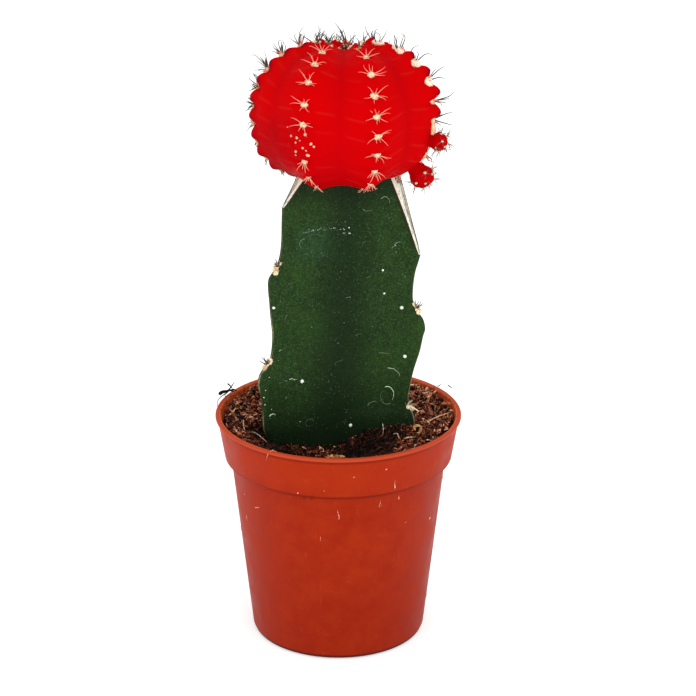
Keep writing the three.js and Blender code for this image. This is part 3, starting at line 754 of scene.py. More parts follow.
def pot_profile(rim, height, wall):
    """The outline of half the pot, from the middle of its underside round the outside to the inside."""
    base, rise, foot = POT_BASE["radius"], POT_BASE["rise"], POT_BAND["foot_z"]
    floor = rise + POT_BASE["floor"]
    lip_foot = height - POT_LIP_HEIGHT
    mouth = inner_radius(height, wall)
    return [
        (0, rise), (POT_BASE["inner"], rise), (POT_BASE["inner"] + 0.9, 0), (base - 1, 0), (base - 0.25, 0.3),
        (base + 0.1, 1.1), (POT_BAND["body_top"], foot), (POT_BAND["foot"] - 0.5, foot),
        (POT_BAND["foot"], foot + 0.5), (rim - POT_LIP, lip_foot), (rim - 0.15, lip_foot + 0.1),
        (rim, lip_foot + 0.25), (rim, height - 0.25), (rim - 0.25, height), (mouth + 0.25, height),
        (mouth, height - 0.3), (inner_radius(foot + 1, wall), foot + 1),
        (inner_radius(foot - 0.2, wall), foot - 0.2), (inner_radius(floor + 1, wall), floor + 1),
        (inner_radius(floor, wall) - 0.9, floor), (0, floor),
    ]


def make_pot(pot):
    """Spins the pot from half its outline, softens its edges and drills it."""
    rim, height, wall = pot.rim_radius / MM, pot.height / MM, pot.wall / MM
    bm = bmesh.new()
    verts = [bm.verts.new((r, 0, z)) for r, z in pot_profile(rim, height, wall)]
    edges = [bm.edges.new(pair) for pair in zip(verts, verts[1:])]
    bmesh.ops.spin(
        bm, geom=verts + edges, cent=(0, 0, 0), axis=UP, angle=2 * math.pi, steps=pot.steps, use_merge=True
    )
    bmesh.ops.remove_doubles(bm, verts=bm.verts, dist=1e-4)
    bmesh.ops.recalc_face_normals(bm, faces=bm.faces)
    creases = [
        edge for edge in bm.edges
        if abs(edge.verts[0].co.z - edge.verts[1].co.z) < 1e-4 and edge.calc_face_angle(0) > math.radians(14)
    ]
    bmesh.ops.bevel(
        bm, geom=creases, offset=0.17, segments=3, profile=0.5, affect="EDGES", material=-1,
        clamp_overlap=True,
    )
    # the inside faces above the band take the inside finish, whose colour is painted light
    for face in bm.faces:
        middle = face.calc_center_median()
        if face.normal.dot(Vector((middle.x, middle.y, 0))) < 0 and middle.z > POT_BAND["foot_z"]:
            face.material_index = 1
    piece = finish_piece(bm, "moulded_pot", [plastic_finish(pot), inside_finish()], "pot")
    drill_holes(piece)


def drill_holes(piece):
    """Cuts the drainage holes through the floor."""
    bm = bmesh.new()
    ring = [outwards((i + 0.5) * 2 * math.pi / POT_HOLES["outer"]) for i in range(POT_HOLES["outer"])]
    for place in [Vector()] + [POT_HOLES["ring"] * way for way in ring]:
        bmesh.ops.create_cone(
            bm, cap_ends=True, segments=40, radius1=POT_HOLES["radius"], radius2=POT_HOLES["radius"], depth=9,
            matrix=Matrix.Translation(place),
        )
    bmesh.ops.transform(bm, matrix=Matrix.Scale(MM, 4), verts=bm.verts)
    mesh = bpy.data.meshes.new("drill")
    bm.to_mesh(mesh)
    bm.free()
    drill = bpy.data.objects.new("drill", mesh)
    bpy.context.scene.collection.objects.link(drill)
    cut = piece.modifiers.new("holes", "BOOLEAN")
    cut.operation, cut.solver, cut.object = "DIFFERENCE", "EXACT", drill
    with bpy.context.temp_override(object=piece, active_object=piece, selected_objects=[piece]):
        bpy.ops.object.modifier_apply(modifier=cut.name)
    bpy.data.objects.remove(drill)


# Fibres and flecks on the front of the pot: turn, height, length and lean of each.
STUCK = [
    (0, 37.4, 2.5, -0.1), (-9.6, 31.3, 1.3, 0.15), (28.2, 44.2, 2.4, 0.0), (33.5, 39.9, 1.1, 0.0),
    (22.3, 39.4, 1.9, 0.15), (22.8, 48.6, 0.4, 0.8), (7.3, 47.5, 0.4, 0.5), (-49.8, 35.3, 2.0, 1.15),
    (63, 30.6, 0.5, 0.3), (23.5, 38.9, 0.3, 1.0), (-62, 37, 1.0, 0.1), (-63, 30.5, 1.8, 0.05),
    (-19.8, 42.8, 0.4, 1.0), (-6.7, 44, 0.4, 1.2), (40, 33, 0.4, 0.6),
]
# Two dark specks under the band: turn and height.
SPECKS = [(-13, 41.7), (-16.7, 41.7)]
# A longer fibre that hangs over the front of the rim: turn, distance past the rim and height of its points.
HANGING = [(-31, -3.4, 50.2), (-32, -1, 52.15), (-33.5, 0, 51.3), (-35.5, -0.55, 49.2)]


def make_stray_fibres(pot, soil):
    """Fibres and flecks of the mix that stick to the pot's wall and hang over its rim."""
    draw = random.Random(3)
    strands = []
    mid_wall = 23
    placed = list(STUCK)
    for _ in range(pot.stray_fibres - len(placed)):
        turn, z = draw.uniform(75, 285), draw.uniform(6, 49)
        placed.append((turn, z, draw.uniform(0.3, 1.6), draw.gauss(0, 0.3)))
    for turn, z, size, lean in placed:
        points = []
        for i in range(4):
            t = i / 3 - 0.5
            height = z + t * size * math.cos(lean) + 0.05 * draw.uniform(-1, 1)
            along = t * size * math.sin(lean) + 0.12 * draw.uniform(-1, 1)
            angle = math.radians(turn) + along / mid_wall
            points.append(outwards(angle) * (outer_radius(height) + 0.02) + height * UP)
        pale = Vector((0.72, 0.17, 0.10)).lerp(Vector((0.98, 0.52, 0.38)), draw.random())
        strands.append(Strand(points, draw.uniform(0.09, 0.15), pale, pale * 0.85))
    dark = (0.03, 0.008, 0.004)
    for turn, z in SPECKS:
        middle = outwards(math.radians(turn)) * (outer_radius(z) + 0.02) + z * UP
        ends = (middle - Vector((0.35, 0, 0)), middle, middle + Vector((0.35, 0, -0.05)))
        strands.append(Strand(ends, 0.12, dark, dark))
    rim = pot.rim_radius / MM
    hanging = [outwards(math.radians(turn)) * (rim + past) + z * UP for turn, past, z in HANGING]
    strands.append(Strand(hanging, 0.12, soil.straw, (0.75, 0.35, 0.2)))
    finish_piece(roll(strands, rings=6, sides=5), "stray_fibres", [crumb_finish("stray_fibre")])


# ---------------------------------------------------------------- rootstock


def stock_axis(z):
    t = (z - STOCK_FOOT.z) / (STOCK_HEAD.z - STOCK_FOOT.z)
    return Vector((lerp(STOCK_FOOT.x, STOCK_HEAD.x, t), lerp(STOCK_FOOT.y, STOCK_HEAD.y, t), z))


def wing_turn(wing):
    return math.radians(wing["turn"] + STOCK_TURNED)


def stock_outline(around, z):
    """A point of the stem's outline at one height.

    around counts the wings: its whole part is the wing, and its fraction runs from the face before the wing
    (0) over the margin (0.5) to the face behind it (1).
    """
    wing = WINGS[int(around) % len(WINGS)]
    side = (around % 1) * 2 - 1
    inwards = abs(side)
    reach = curve_at(wing["reach"], z)
    core = lerp(STOCK_CORE_FOOT, STOCK_CORE, smoothstep(z, 48, 75))
    valley_x, valley_y = core / 2, core * math.sqrt(0.75)
    depth = (reach - valley_x) * inwards**1.6
    nose = STOCK_MARGIN * math.sqrt(1 - (1 - min(depth / STOCK_MARGIN, 1)) ** 2)
    thick = nose + (valley_y - STOCK_MARGIN) * (depth / (reach - valley_x)) ** 1.35
    along = outwards(wing_turn(wing))
    across = Vector((-along.y, along.x, 0))
    return stock_axis(z) + along * (reach - depth) + across * math.copysign(thick, side)


def front_of_stock(x, z, lift):
    """A point at a height off the stem's front face."""
    low, high = 0.5, 1.5
    for _ in range(24):
        middle = (low + high) / 2
        if stock_outline(middle, z).x < x:
            low = middle
        else:
            high = middle
    at = stock_outline(low, z)
    tangent = stock_outline(min(low + 0.03, 1.499), z) - stock_outline(max(low - 0.03, 0.501), z)
    facing = tangent.cross(UP).normalized()
    return at + facing * lift


def make_stock(stock):
    """The stem: a loft of its outline, with the top of each wing cut off on a slant."""
    foot, top, buried = STOCK_LOW.z, STOCK_HIGH.z, 46
    rings, sides, buried_share = 190, 168, 0.05
    wings = len(WINGS)

    def height_at(along):
        t = clamp((along * rings - 1) / (rings - 2))
        if t < buried_share:
            return lerp(foot, buried, t / buried_share)
        return lerp(buried, top, (t - buried_share) / (1 - buried_share))

    def spread(around):
        """Gathers more of the columns at the margins."""
        place = around * wings
        side = (place % 1) * 2 - 1
        return int(place) + (math.copysign(abs(side) ** 1.25, side) + 1) / 2

    def place(item, along, around):
        z = height_at(along)
        if along in (0, 1):
            return stock_axis(z)
        at = stock_outline(spread(around), z)
        out = (at - stock_axis(z)).normalized()
        open_skin = smoothstep(z, 46, 50) * (1 - smoothstep(z, top - 3, top))
        return at + out * 0.22 * rough(at, 7, 2.0) * open_skin

    def paint(item, along, around):
        z = height_at(along)
        side = abs((spread(around) % 1) * 2 - 1)
        # painted shade: fold darkens the valley of each face, foot_shade the skin near the soil and
        # roof_shade the top under the scion
        fold = 0.75 * smoothstep(side, 0.6, 1) * lerp(1, 0.8, smoothstep(z, 60, 100))
        foot_shade = 0.85 * (1 - smoothstep(z + 2 * side, 48, 66))
        roof_shade = 0.5 * smoothstep(z, 100, 107)
        patchy = smoothstep(rough((int(around * wings) * 9, 0, z), 7, 1.0), -0.25, 0.15)
        # the left wing's margin has little horn high up, and the right wing's is all horn low down
        wing = int(spread(around)) % wings
        if wing == 0:
            patchy *= 1 - 0.8 * smoothstep(z, 74, 82)
        elif wing == 1:
            patchy = max(patchy, 1.3 * (1 - smoothstep(z, 64, 70)))
        return (patchy * math.exp(-((side / 0.012) ** 2)), fold, max(foot_shade, roof_shade))

    bm = weave(1, rings, sides, place, paint)
    lines = []
    for wing in WINGS:
        lines += cut_wing(bm, wing)
    rim = Finish("cut_rim", roughness=0.8, specular=0.05).done(Base_Color=(0.040, 0.013, 0.006))
    piece = finish_piece(bm, "stem", [stem_finish(stock), cut_finish(stock), rim], "rootstock")
    flags = [polygon.material_index == 0 for polygon in piece.data.polygons]
    piece.data.polygons.foreach_set("use_smooth", flags)
    edges = roll(lines, rings=24, sides=6, blunt=True)
    finish_piece(edges, "cut_edges", [spine_finish("cut_vein")])


# Lines along a wing's cut: where each runs between the near edge (0) and the far edge (1), where it starts
# and ends up the cut, its radius and its colour. The first two are the dried edges of the skin.
CUT_LINES = [
    (0.0, 0.02, 0.98, 0.23, (0.028, 0.009, 0.003)), (1.0, 0.02, 0.98, 0.08, (0.10, 0.08, 0.055)),
    (0.74, 0.01, 0.95, 0.09, (0.045, 0.035, 0.022)), (0.62, 0.22, 0.80, 0.05, (0.24, 0.18, 0.11)),
    (0.86, 0.10, 0.90, 0.06, (0.16, 0.12, 0.08)), (0.52, 0.45, 0.70, 0.04, (0.30, 0.22, 0.13)),
]


def cut_wing(bm, wing):
    """Slices the top of a wing off, rims the dried flesh with brown skin and returns the cut's lines."""
    cut = wing["cut"]
    turn = wing_turn(wing)
    lean = math.radians(cut["lean"])
    at = stock_axis(cut["z"]) + outwards(turn) * cut["reach"]
    facing = outwards(turn + math.radians(cut["twist"])) * math.cos(lean) + UP * math.sin(lean)
    everything = list(bm.verts) + list(bm.edges) + list(bm.faces)
    sliced = bmesh.ops.bisect_plane(
        bm, geom=everything, plane_co=at, plane_no=facing, clear_outer=True, dist=1e-4
    )
    rim = [part for part in sliced["geom_cut"] if isinstance(part, bmesh.types.BMEdge)]
    cap = bmesh.ops.edgeloop_fill(bm, edges=rim, mat_nr=1)["faces"]
    for edge in rim:
        edge.smooth = False
    lip = bmesh.ops.inset_region(bm, faces=cap, thickness=0.24, depth=0, use_even_offset=False)["faces"]
    for face in lip:
        face.material_index = 2
    along = facing.cross(UP.cross(outwards(turn))).normalized()
    along *= math.copysign(1, along.z)
    across = facing.cross(along)
    across *= math.copysign(1, across.y)
    corners = {vert for edge in rim for vert in edge.verts}
    spots = sorted(((vert.co - at).dot(along), (vert.co - at).dot(across)) for vert in corners)
    near, far = [spots[0]], [spots[0]]
    for up, side in spots[1:]:
        row = far if side > 0 else near
        if up - row[-1][0] > 0.3:
            row.append((up, side))
    lines = []
    for part, start, end, radius, shade in CUT_LINES:
        points = []
        for i in range(11):
            up = lerp(spots[0][0], spots[-1][0], lerp(start, end, i / 10))
            side = lerp(curve_at(near, up), curve_at(far, up), part)
            if 0 < part < 1:
                side += 0.09 * rough((up, 0, 7), 2.5)
            points.append(at + along * up + across * side)
        lines.append(Strand(points, radius, shade, shade))
    return lines


def areole_spot(wing, z):
    """Where an areole sits on a wing's margin, and the direction out of it."""
    out = outwards(wing_turn(wing))
    return stock_axis(z) + out * (curve_at(wing["reach"], z) - 0.25), out


def make_stock_areoles(scion):
    """A felt pad and a few short spines on each shelf of the wings."""
    draw = random.Random(11)
    pads, hairs, spines = [], [], []
    for wing in WINGS:
        for z in wing["areoles"]:
            at, out = areole_spot(wing, z)
            facing = (out + 0.9 * UP).normalized()
            beside = facing.cross(UP).normalized()
            along = facing.cross(beside)
            for k in range(7):
                aside, lift = draw.uniform(-0.45, 0.45), draw.uniform(0.05, 0.4)
                middle = at + beside * aside + along * (k - 3) * 0.36 + facing * lift
                size = draw.uniform(0.38, 0.68)
                tone = draw.choice(((1.1, 1.1, 1.02), (1.08, 1.08, 1.1), (0.92, 0.72, 0.52)))
                pads.append((middle, (beside * size, along * size, facing * size * 0.85), 0.6, tone))
                hairs += fuzz(draw, middle, beside, along, facing, size, 26, 0.8)
            for _ in range(draw.choice((3, 4, 5))):
                swing, rise = draw.uniform(-1.5, 1.5), draw.uniform(0.3, 1.6)
                aim = (out * math.cos(swing) + beside * math.sin(swing) + UP * rise).normalized()
                size = draw.uniform(1.4, 3.0)
                spines.append(spine(draw, at, aim, size, 0.16, (0.25, 0.12, 0.06), scion.spine_tip, 0.8))
            for lean, size in ((0.35, draw.uniform(1.9, 2.7)), (-0.15, draw.uniform(1.4, 2.2))):
                forward, aside = lean + draw.uniform(0, 0.3), draw.uniform(-0.3, 0.3)
                aim = (out * forward + beside * aside + UP).normalized()
                root = at + 0.3 * UP
                spines.append(spine(draw, root, aim, size, 0.14, (0.12, 0.07, 0.05), scion.spine_tip, 0.95))
    # beside the soil on the right, a pale old spine lies out and another stands up
    low_right, out = areole_spot(WINGS[1], WINGS[1]["areoles"][0])
    for way, size, radius in (((0.5, -0.9, -0.35), 3.6, 0.3), ((0.3, -0.5, 1.6), 2.3, 0.15)):
        aim = (out + Vector(way)).normalized()
        pale, tanned = (0.92, 0.80, 0.52), (0.88, 0.72, 0.44)
        spines.append(spine(draw, low_right, aim, size, radius, pale, tanned, 0.3, 0.05))
    finish_piece(blobs(pads), "stem_wool", [wool_finish("stem_felt", scion.wool)])
    finish_piece(roll(hairs, rings=3, sides=3), "stem_fuzz", [wool_finish("stem_fuzz", scion.wool)])
    finish_piece(roll(spines, rings=7, sides=6), "stem_spines", [spine_finish("stem_spine")])


# Curled fibres and scuffs on the stem's front: middle x, z, half width, half height, start and sweep in
# degrees, and how pale each is.
SCUFFS = [
    (-7.4, 94.3, 0.9, 1.2, 70, 170, 0.3), (-5.4, 95.4, 1.9, 0.9, 20, 140, 0.16),
    (10.0, 102.7, 1.0, 1.2, 150, -170, 0.42), (13.6, 93.0, 1.4, 0.6, 215, -120, 0.5),
    (12.6, 92.4, 0.9, 0.4, 200, -90, 0.3), (10.8, 58.0, 1.4, 2.2, 115, -150, 0.85),
    (10.9, 57.8, 1.6, 1.9, -60, -175, 0.25), (10.9, 62.4, 2.6, 2.2, 95, -95, 0.55),
    (9.6, 67.4, 2.0, 0.8, 110, -80, 0.26), (-1.6, 57.3, 2.1, 1.5, 130, -120, 0.42),
    (7.9, 55.5, 1.5, 1.2, 165, -110, 0.3), (9.3, 63.8, 1.6, 0.8, 230, -90, 0.2),
    (-7.3, 63.6, 1.3, 0.9, 200, 130, 0.16), (-14.4, 55.7, 0.55, 0.4, 190, -200, 0.85),
    (-6.3, 52.9, 0.95, 0.95, 0, 330, 0.14), (6.4, 101.6, 1.3, 0.7, 200, 120, 0.26),
    (2.2, 81.0, 0.6, 0.4, 20, 160, 0.3), (-12.6, 70.2, 0.4, 0.5, 60, 80, 0.5),
    (-10.6, 77.6, 1.0, 1.2, 100, 150, 0.16), (4.6, 72.2, 0.9, 0.6, 160, -120, 0.16),
    (-3.2, 90.6, 1.1, 0.7, 30, 130, 0.14), (5.8, 92.8, 0.7, 1.1, 80, 120, 0.14),
    (12.8, 83.6, 0.8, 0.6, 10, 110, 0.2), (-9.8, 85.6, 1.2, 0.6, 150, -100, 0.16),
]
# Rows of small scabs: first x, last x, height and sag.
SCAB_ROWS = [
    (-7.4, 2.2, 96.9, 0.5), (-11.4, -8.8, 63.6, 0.15), (-12.6, -11.6, 63.2, 0.3), (1.2, 3.0, 96.4, -0.3),
]
# Pale corky dots on the stem's front: x, z and radius.
CORK_DOTS = [
    (9.65, 87.2, 0.25), (10.0, 81.8, 0.25), (-13.9, 80.9, 0.34), (13.8, 78.5, 0.42), (14.6, 67.3, 0.40),
    (-7.9, 63.0, 0.42), (2.7, 51.6, 0.40), (-15.8, 62.2, 0.12), (-16.2, 60.4, 0.14), (-16.0, 58.6, 0.11),
    (-15.0, 65.1, 0.10), (-14.6, 57.3, 0.09), (-11.4, 59.6, 0.08), (2.3, 97.3, 0.16), (-8.4, 53.4, 0.09),
]


def stuck_fibres(draw):
    """Curled fibres and scuffs on the stem's front."""
    strands = []
    for x, z, wide, tall, start, sweep, pale in SCUFFS:
        points = []
        for i in range(7):
            angle = math.radians(start + sweep * i / 6)
            aside, above = draw.uniform(-0.08, 0.08), draw.uniform(-0.08, 0.08)
            across, height = x + wide * math.cos(angle) + aside, z + tall * math.sin(angle) + above
            points.append(front_of_stock(across, height, draw.uniform(0.0, 0.08)))
        root, tip = (0.7 * pale, 0.95 * pale, 0.65 * pale), (0.9 * pale, pale, 0.8 * pale)
        strands.append(Strand(points, lerp(0.05, 0.13, pale), root, tip))
    return strands


def scabs(draw):
    """Sagging rows of small flat scabs."""
    dots = []
    for first, last, z, sag in SCAB_ROWS:
        count = round(abs(last - first) / 0.42)
        for i in range(count):
            t = (i + draw.uniform(-0.3, 0.3)) / count
            height = z + sag * math.sin(math.pi * t) + draw.gauss(0, 0.2)
            middle = front_of_stock(lerp(first, last, t), height, 0.02)
            size = 0.06 + 0.24 * draw.random() ** 2
            axes = (Vector((size, 0, 0)), UP * size * 0.6, Vector((0, 0.05, 0)))
            dots.append((middle, axes, 0.5, Vector((0.46, 0.62, 0.42)) * draw.uniform(0.15, 1)))
    return dots


def skin_hairs(draw):
    """Fine, faint hairs that lie on the skin all round the stem."""
    strands = []
    for _ in range(150):
        around, z = draw.uniform(0, 3), draw.uniform(52, 104)
        heading, size = draw.uniform(0, 2 * math.pi), draw.uniform(0.3, 1.1)
        points = []
        for _ in range(4):
            heading += draw.uniform(-0.7, 0.7)
            step = size / 3
            around += step * math.cos(heading) / 30
            z += step * math.sin(heading)
            at = stock_outline(around % 3, z)
            points.append(at + (at - stock_axis(z)).normalized() * 0.08)
        pale = draw.uniform(0.06, 0.22)
        tint = (0.7 * pale, pale, 0.6 * pale)
        strands.append(Strand(points, draw.uniform(0.03, 0.055), tint, tint))
    return strands


def cork_dots(draw):
    """Pale corky dots, each flat on the skin."""
    dots = []
    for x, z, radius in CORK_DOTS:
        middle = front_of_stock(x, z, 0.02)
        facing = (front_of_stock(x, z, 1) - middle).normalized()
        beside = facing.cross(UP).normalized()
        tall = facing.cross(beside) * radius * draw.uniform(0.8, 1.1)
        dots.append((middle, (beside * radius, tall, facing * radius * 0.5), 0.2, (0.86, 0.90, 0.76)))
    return dots


def make_stem_marks():
    """Fibres and hairs stuck to the skin, and its scabs and corky dots."""
    draw = random.Random(17)
    strands = stuck_fibres(draw)
    dots = scabs(draw)
    strands += skin_hairs(draw)
    dots += cork_dots(draw)
    finish_piece(roll(strands, rings=14, sides=4), "stem_scuffs", [spine_finish("stem_scuff")])
    finish_piece(blobs(dots, rings=6, sides=10), "stem_cork_dots", [spine_finish("cork")])


# ---------------------------------------------------------------- potting mix


def mound(spot, x, y):
    return spot["height"] * math.exp(-((x - spot["x"]) ** 2 + (y - spot["y"]) ** 2) / spot["spread"] ** 2)


def soil_height(x, y, level):
    """The surface of the mix under its loose crumbs."""
    lumps = 0.8 * rough((x, y, 22), 6)
    crumbs = 1.1 * abs(rough((x, y, 14), 1.7))
    return level + lumps + crumbs + mound(SOIL_HEAP, x, y) + mound(SOIL_HOLLOW, x, y)


def from_stem(at):
    """Distance of a place on the soil from the stem's outline, roughly."""
    flat = Vector((at.x, at.y, 0)) - stock_axis(SOIL_BY_STEM).to_2d().to_3d()
    nearest = math.inf
    for wing in WINGS:
        out = outwards(wing_turn(wing))
        along = clamp(flat.dot(out), 0, curve_at(wing["reach"], SOIL_BY_STEM))
        nearest = min(nearest, (flat - out * along).length - lerp(STOCK_CORE_FOOT, 1, along / 18))
    return nearest


def soil_spot(draw, level, clear=0.2, most=CRUMBS_REACH):
    """A random spot on the mix that is clear of the stem, evenly spread."""
    while True:
        turn = draw.uniform(0, 2 * math.pi)
        at = outwards(turn) * (most * math.sqrt(draw.random()))
        if from_stem(at) > clear:
            return Vector((at.x, at.y, soil_height(at.x, at.y, level)))


def make_soil(soil):
    """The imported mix: it fills the pot from its floor to a lumpy surface."""
    level = soil.level / MM
    floor = POT_BASE["rise"] + POT_BASE["floor"] + 0.3
    wall_heights = [floor + 1.3, 20, POT_BAND["foot_z"] - 0.4, POT_BAND["foot_z"] + 1.5]
    rings, sides = 74, 190
    walls = len(wall_heights)

    def place(item, along, around):
        ring = round(along * rings)
        out = outwards(2 * math.pi * around)
        if ring == 0:
            return Vector((0, 0, floor))
        if ring == 1:
            return out * (inner_radius(floor) - 1.4) + floor * UP
        if ring < 2 + walls:
            z = wall_heights[ring - 2]
            return out * (inner_radius(z) - 0.35) + z * UP
        t = (ring - 2 - walls) / (rings - 2 - walls)
        at = out * (inner_radius(level) - 0.3) * (1 - t)
        return Vector((at.x, at.y, soil_height(at.x, at.y, level) - 0.25))

    bm = weave(1, rings, sides, place)
    finish_piece(bm, "packed_mix", [mix_finish(soil)], "soil")


def crumb_tint(soil, draw, at):
    """Black, brown and orange crumbs lie side by side, with a few of straw. At the front they are painted
    darkest, as painted shade.
    """
    # painted shade: crumbs in the shade of the stem and the front rim are painted darker
    painted_shade = 0
    for strength, x, y, wide, deep in SHADED_MIX_SPOTS:
        painted_shade += strength * math.exp(-(((at.x - x) / wide) ** 2) - ((at.y - y) / deep) ** 2)
    mixed = draw.gauss(0, 0.5) * (1 - min(painted_shade, 0.7))
    dry = clamp(0.29 + 0.16 * rough(at, 4, 5.0) - painted_shade + mixed, 0, 0.999) * 3
    ramp = [Vector(shade) for shade in (soil.dark, soil.brown, soil.orange, soil.straw)]
    return ramp[int(dry)].lerp(ramp[int(dry) + 1], dry % 1)


def make_crumbs(soil):
    """Splintery crumbs, banked up a little against the wall."""
    draw = random.Random(5)
    level = soil.level / MM
    spots = []
    for _ in range(soil.crumbs):
        at = soil_spot(draw, level)
        size = 0.12 + 0.44 * draw.random() ** 3.2
        aim = Vector((draw.gauss(0, 1), draw.gauss(0, 1), draw.gauss(0, 0.5))).normalized()
        beside = aim.orthogonal().normalized()
        long, wide, thick = draw.uniform(1.1, 3.6), draw.uniform(0.45, 0.9), draw.uniform(0.3, 0.65)
        axes = (aim * size * long, beside * size * wide, aim.cross(beside) * size * thick)
        bank = draw.random() * smoothstep(math.hypot(at.x, at.y), 21, 25)
        middle = at + UP * (draw.uniform(-0.15, 0.9) * size + bank)
        spots.append((middle, axes, 0.8, crumb_tint(soil, draw, at)))
    bm = blobs(spots, rings=3, sides=5)
    finish_piece(bm, "peat_crumbs", [crumb_finish("peat_crumb")], smooth=False)


# Single fibres that catch the eye: points above the mix, radius and colour.
LONE_FIBRES = [
    ([(-20.6, -7.6, 0.3), (-20.9, -7.6, 1.8), (-21.0, -7.6, 3.4)], 0.17, (0.72, 0.42, 0.2)),
    ([(-23.8, 1.0, 0.7), (-23.2, 2.2, 1.2), (-22.2, 3.4, 1.0)], 0.17, (0.66, 0.36, 0.16)),
    ([(19.6, -4.8, 0.5), (20.4, -3.6, 1.2), (22.6, -1.8, 1.4), (25.4, -0.6, 1.7)], 0.15, (0.78, 0.46, 0.29)),
    ([(19.4, -3.0, 0.8), (19.9, -3.8, 1.2), (20.3, -5.4, 0.8)], 0.13, (0.72, 0.42, 0.28)),
    ([(17.0, 17.3, 0.8), (17.9, 15.6, 1.1), (18.6, 14.2, 0.6)], 0.12, (0.62, 0.36, 0.2)),
    ([(21.0, 13.2, 1.0), (20.8, 11.6, 1.1), (20.2, 8.6, 0.8)], 0.14, (0.45, 0.13, 0.06)),
    ([(11.9, -11.7, 1.0), (12.9, -12.9, 1.3), (13.3, -14.9, 0.6)], 0.13, (0.66, 0.38, 0.24)),
    ([(9.8, -11.0, 0.9), (9.9, -11.1, 2.2), (9.7, -11.0, 3.4)], 0.10, (0.75, 0.68, 0.5)),
    ([(-19.6, -8.6, 0.8), (-18.0, -10.2, 1.1), (-15.4, -12.8, 0.6)], 0.09, (0.5, 0.36, 0.26)),
    ([(-22.4, -6.2, 0.6), (-21.8, -7.6, 1.1), (-20.8, -8.8, 0.6)], 0.12, (0.6, 0.27, 0.12)),
    ([(14.2, -15.6, 1.2), (15.4, -15.4, 1.5), (16.8, -14.6, 1.1)], 0.13, (0.74, 0.46, 0.26)),
]


def make_fibres(soil):
    """Crooked coir fibres that lie on the crumbs."""
    draw = random.Random(9)
    level = soil.level / MM
    strands = []
    for _ in range(soil.fibres):
        start = soil_spot(draw, level, 1.0, 25)
        size = 0.8 + 3.8 * draw.random() ** 2.4
        heading = draw.uniform(0, 2 * math.pi)
        points = []
        at = start.copy()
        for _ in range(5):
            heading += draw.uniform(-0.7, 0.7)
            at = at + outwards(heading) * (size / 4)
            if math.hypot(at.x, at.y) > FIBRES_REACH:
                at = at * (FIBRES_REACH / math.hypot(at.x, at.y))
            bank = 0.6 * smoothstep(math.hypot(at.x, at.y), 21, 25)
            z = soil_height(at.x, at.y, level) + bank + draw.uniform(0.05, 0.7)
            points.append(Vector((at.x, at.y, z)))
        tint = crumb_tint(soil, draw, start) * 1.3 + Vector(soil.orange) * 0.3 * draw.random() ** 2
        strands.append(Strand(points, draw.uniform(0.04, 0.10), tint, tint))
    for points, radius, tint in LONE_FIBRES:
        raised = [Vector((x, y, soil_height(x, y, level) + z)) for x, y, z in points]
        strands.append(Strand(raised, radius, tint, tint))
    bm = roll(strands, rings=8, sides=4, blunt=True)
    finish_piece(bm, "coir_fibres", [crumb_finish("coir_fibre")])


# The curled flake's outline, across and up.
FLAKE_CURL = [(0.0, -1.5), (0.35, -0.7), (0.75, 0.2), (0.45, 0.95), (-0.3, 1.05), (-0.75, 0.4), (-0.5, -0.1)]
# The twig on the rim, what hangs from it, and the wisps that stand out of the mix, some with dark ends: their
# points, radius, and colours at the two ends.
TWIG_DARK, TWIG_TAN, WISP_DARK = (0.016, 0.011, 0.008), (0.16, 0.10, 0.06), (0.05, 0.045, 0.04)
WISP_ROOT, WISP_TIP = (0.35, 0.32, 0.3), (0.45, 0.42, 0.4)
TWIGS = [
    (
        [(-27.1, 7.4, 53), (-26.4, 8.4, 53.3), (-25.4, 9.7, 53), (-24.6, 10.6, 52.9), (-23.5, 11, 52.2)],
        0.48, TWIG_DARK, TWIG_DARK,
    ),
    ([(-25.4, 9.8, 52.7), (-24.5, 10.0, 53.8), (-23.5, 10.2, 55.2)], 0.24, TWIG_DARK, TWIG_DARK),
    ([(-25.2, 10.0, 54.8), (-24.6, 10.0, 54.2), (-24.1, 10.0, 53.5)], 0.22, TWIG_DARK, TWIG_DARK),
    ([(-24.6, 10.2, 52.8), (-23.9, 10.6, 53.1), (-23.0, 11.0, 52.4)], 0.3, TWIG_DARK, TWIG_DARK),
    (
        [(-24.8, 9.8, 52.9), (-26.2, 8.2, 52.6), (-27.25, 6.4, 52.1), (-27.3, 5.2, 51.0), (-27.2, 4.6, 49.8)],
        0.15, TWIG_TAN, TWIG_TAN,
    ),
    ([(-25.8, 8.8, 52.9), (-25.6, 7.6, 52.4), (-25.0, 6.2, 51.8)], 0.13, TWIG_TAN, TWIG_TAN),
    ([(22.6, 10.2, 54.0), (23.0, 10.0, 54.3), (23.5, 9.9, 54.9)], 0.17, WISP_DARK, WISP_DARK),
    ([(24.9, 8.8, 54.9), (25.4, 8.6, 54.5), (26.1, 8.5, 54.2)], 0.17, WISP_DARK, WISP_DARK),
    ([(22.2, 11.8, 51.6), (22.4, 11.0, 53.2), (22.7, 10.2, 54.1)], 0.05, WISP_ROOT, WISP_TIP),
    ([(24.4, 9.6, 51.8), (24.7, 9.2, 53.6), (24.95, 8.8, 54.85)], 0.05, WISP_ROOT, WISP_TIP),
    ([(17.2, 15.6, 51.0), (17.6, 15.4, 54.2), (18.2, 15.2, 56.6)], 0.05, WISP_ROOT, WISP_TIP),
    ([(-20.6, 15.6, 51.4), (-20.2, 15.4, 53.4), (-19.4, 15.2, 54.8)], 0.05, WISP_ROOT, WISP_TIP),
]


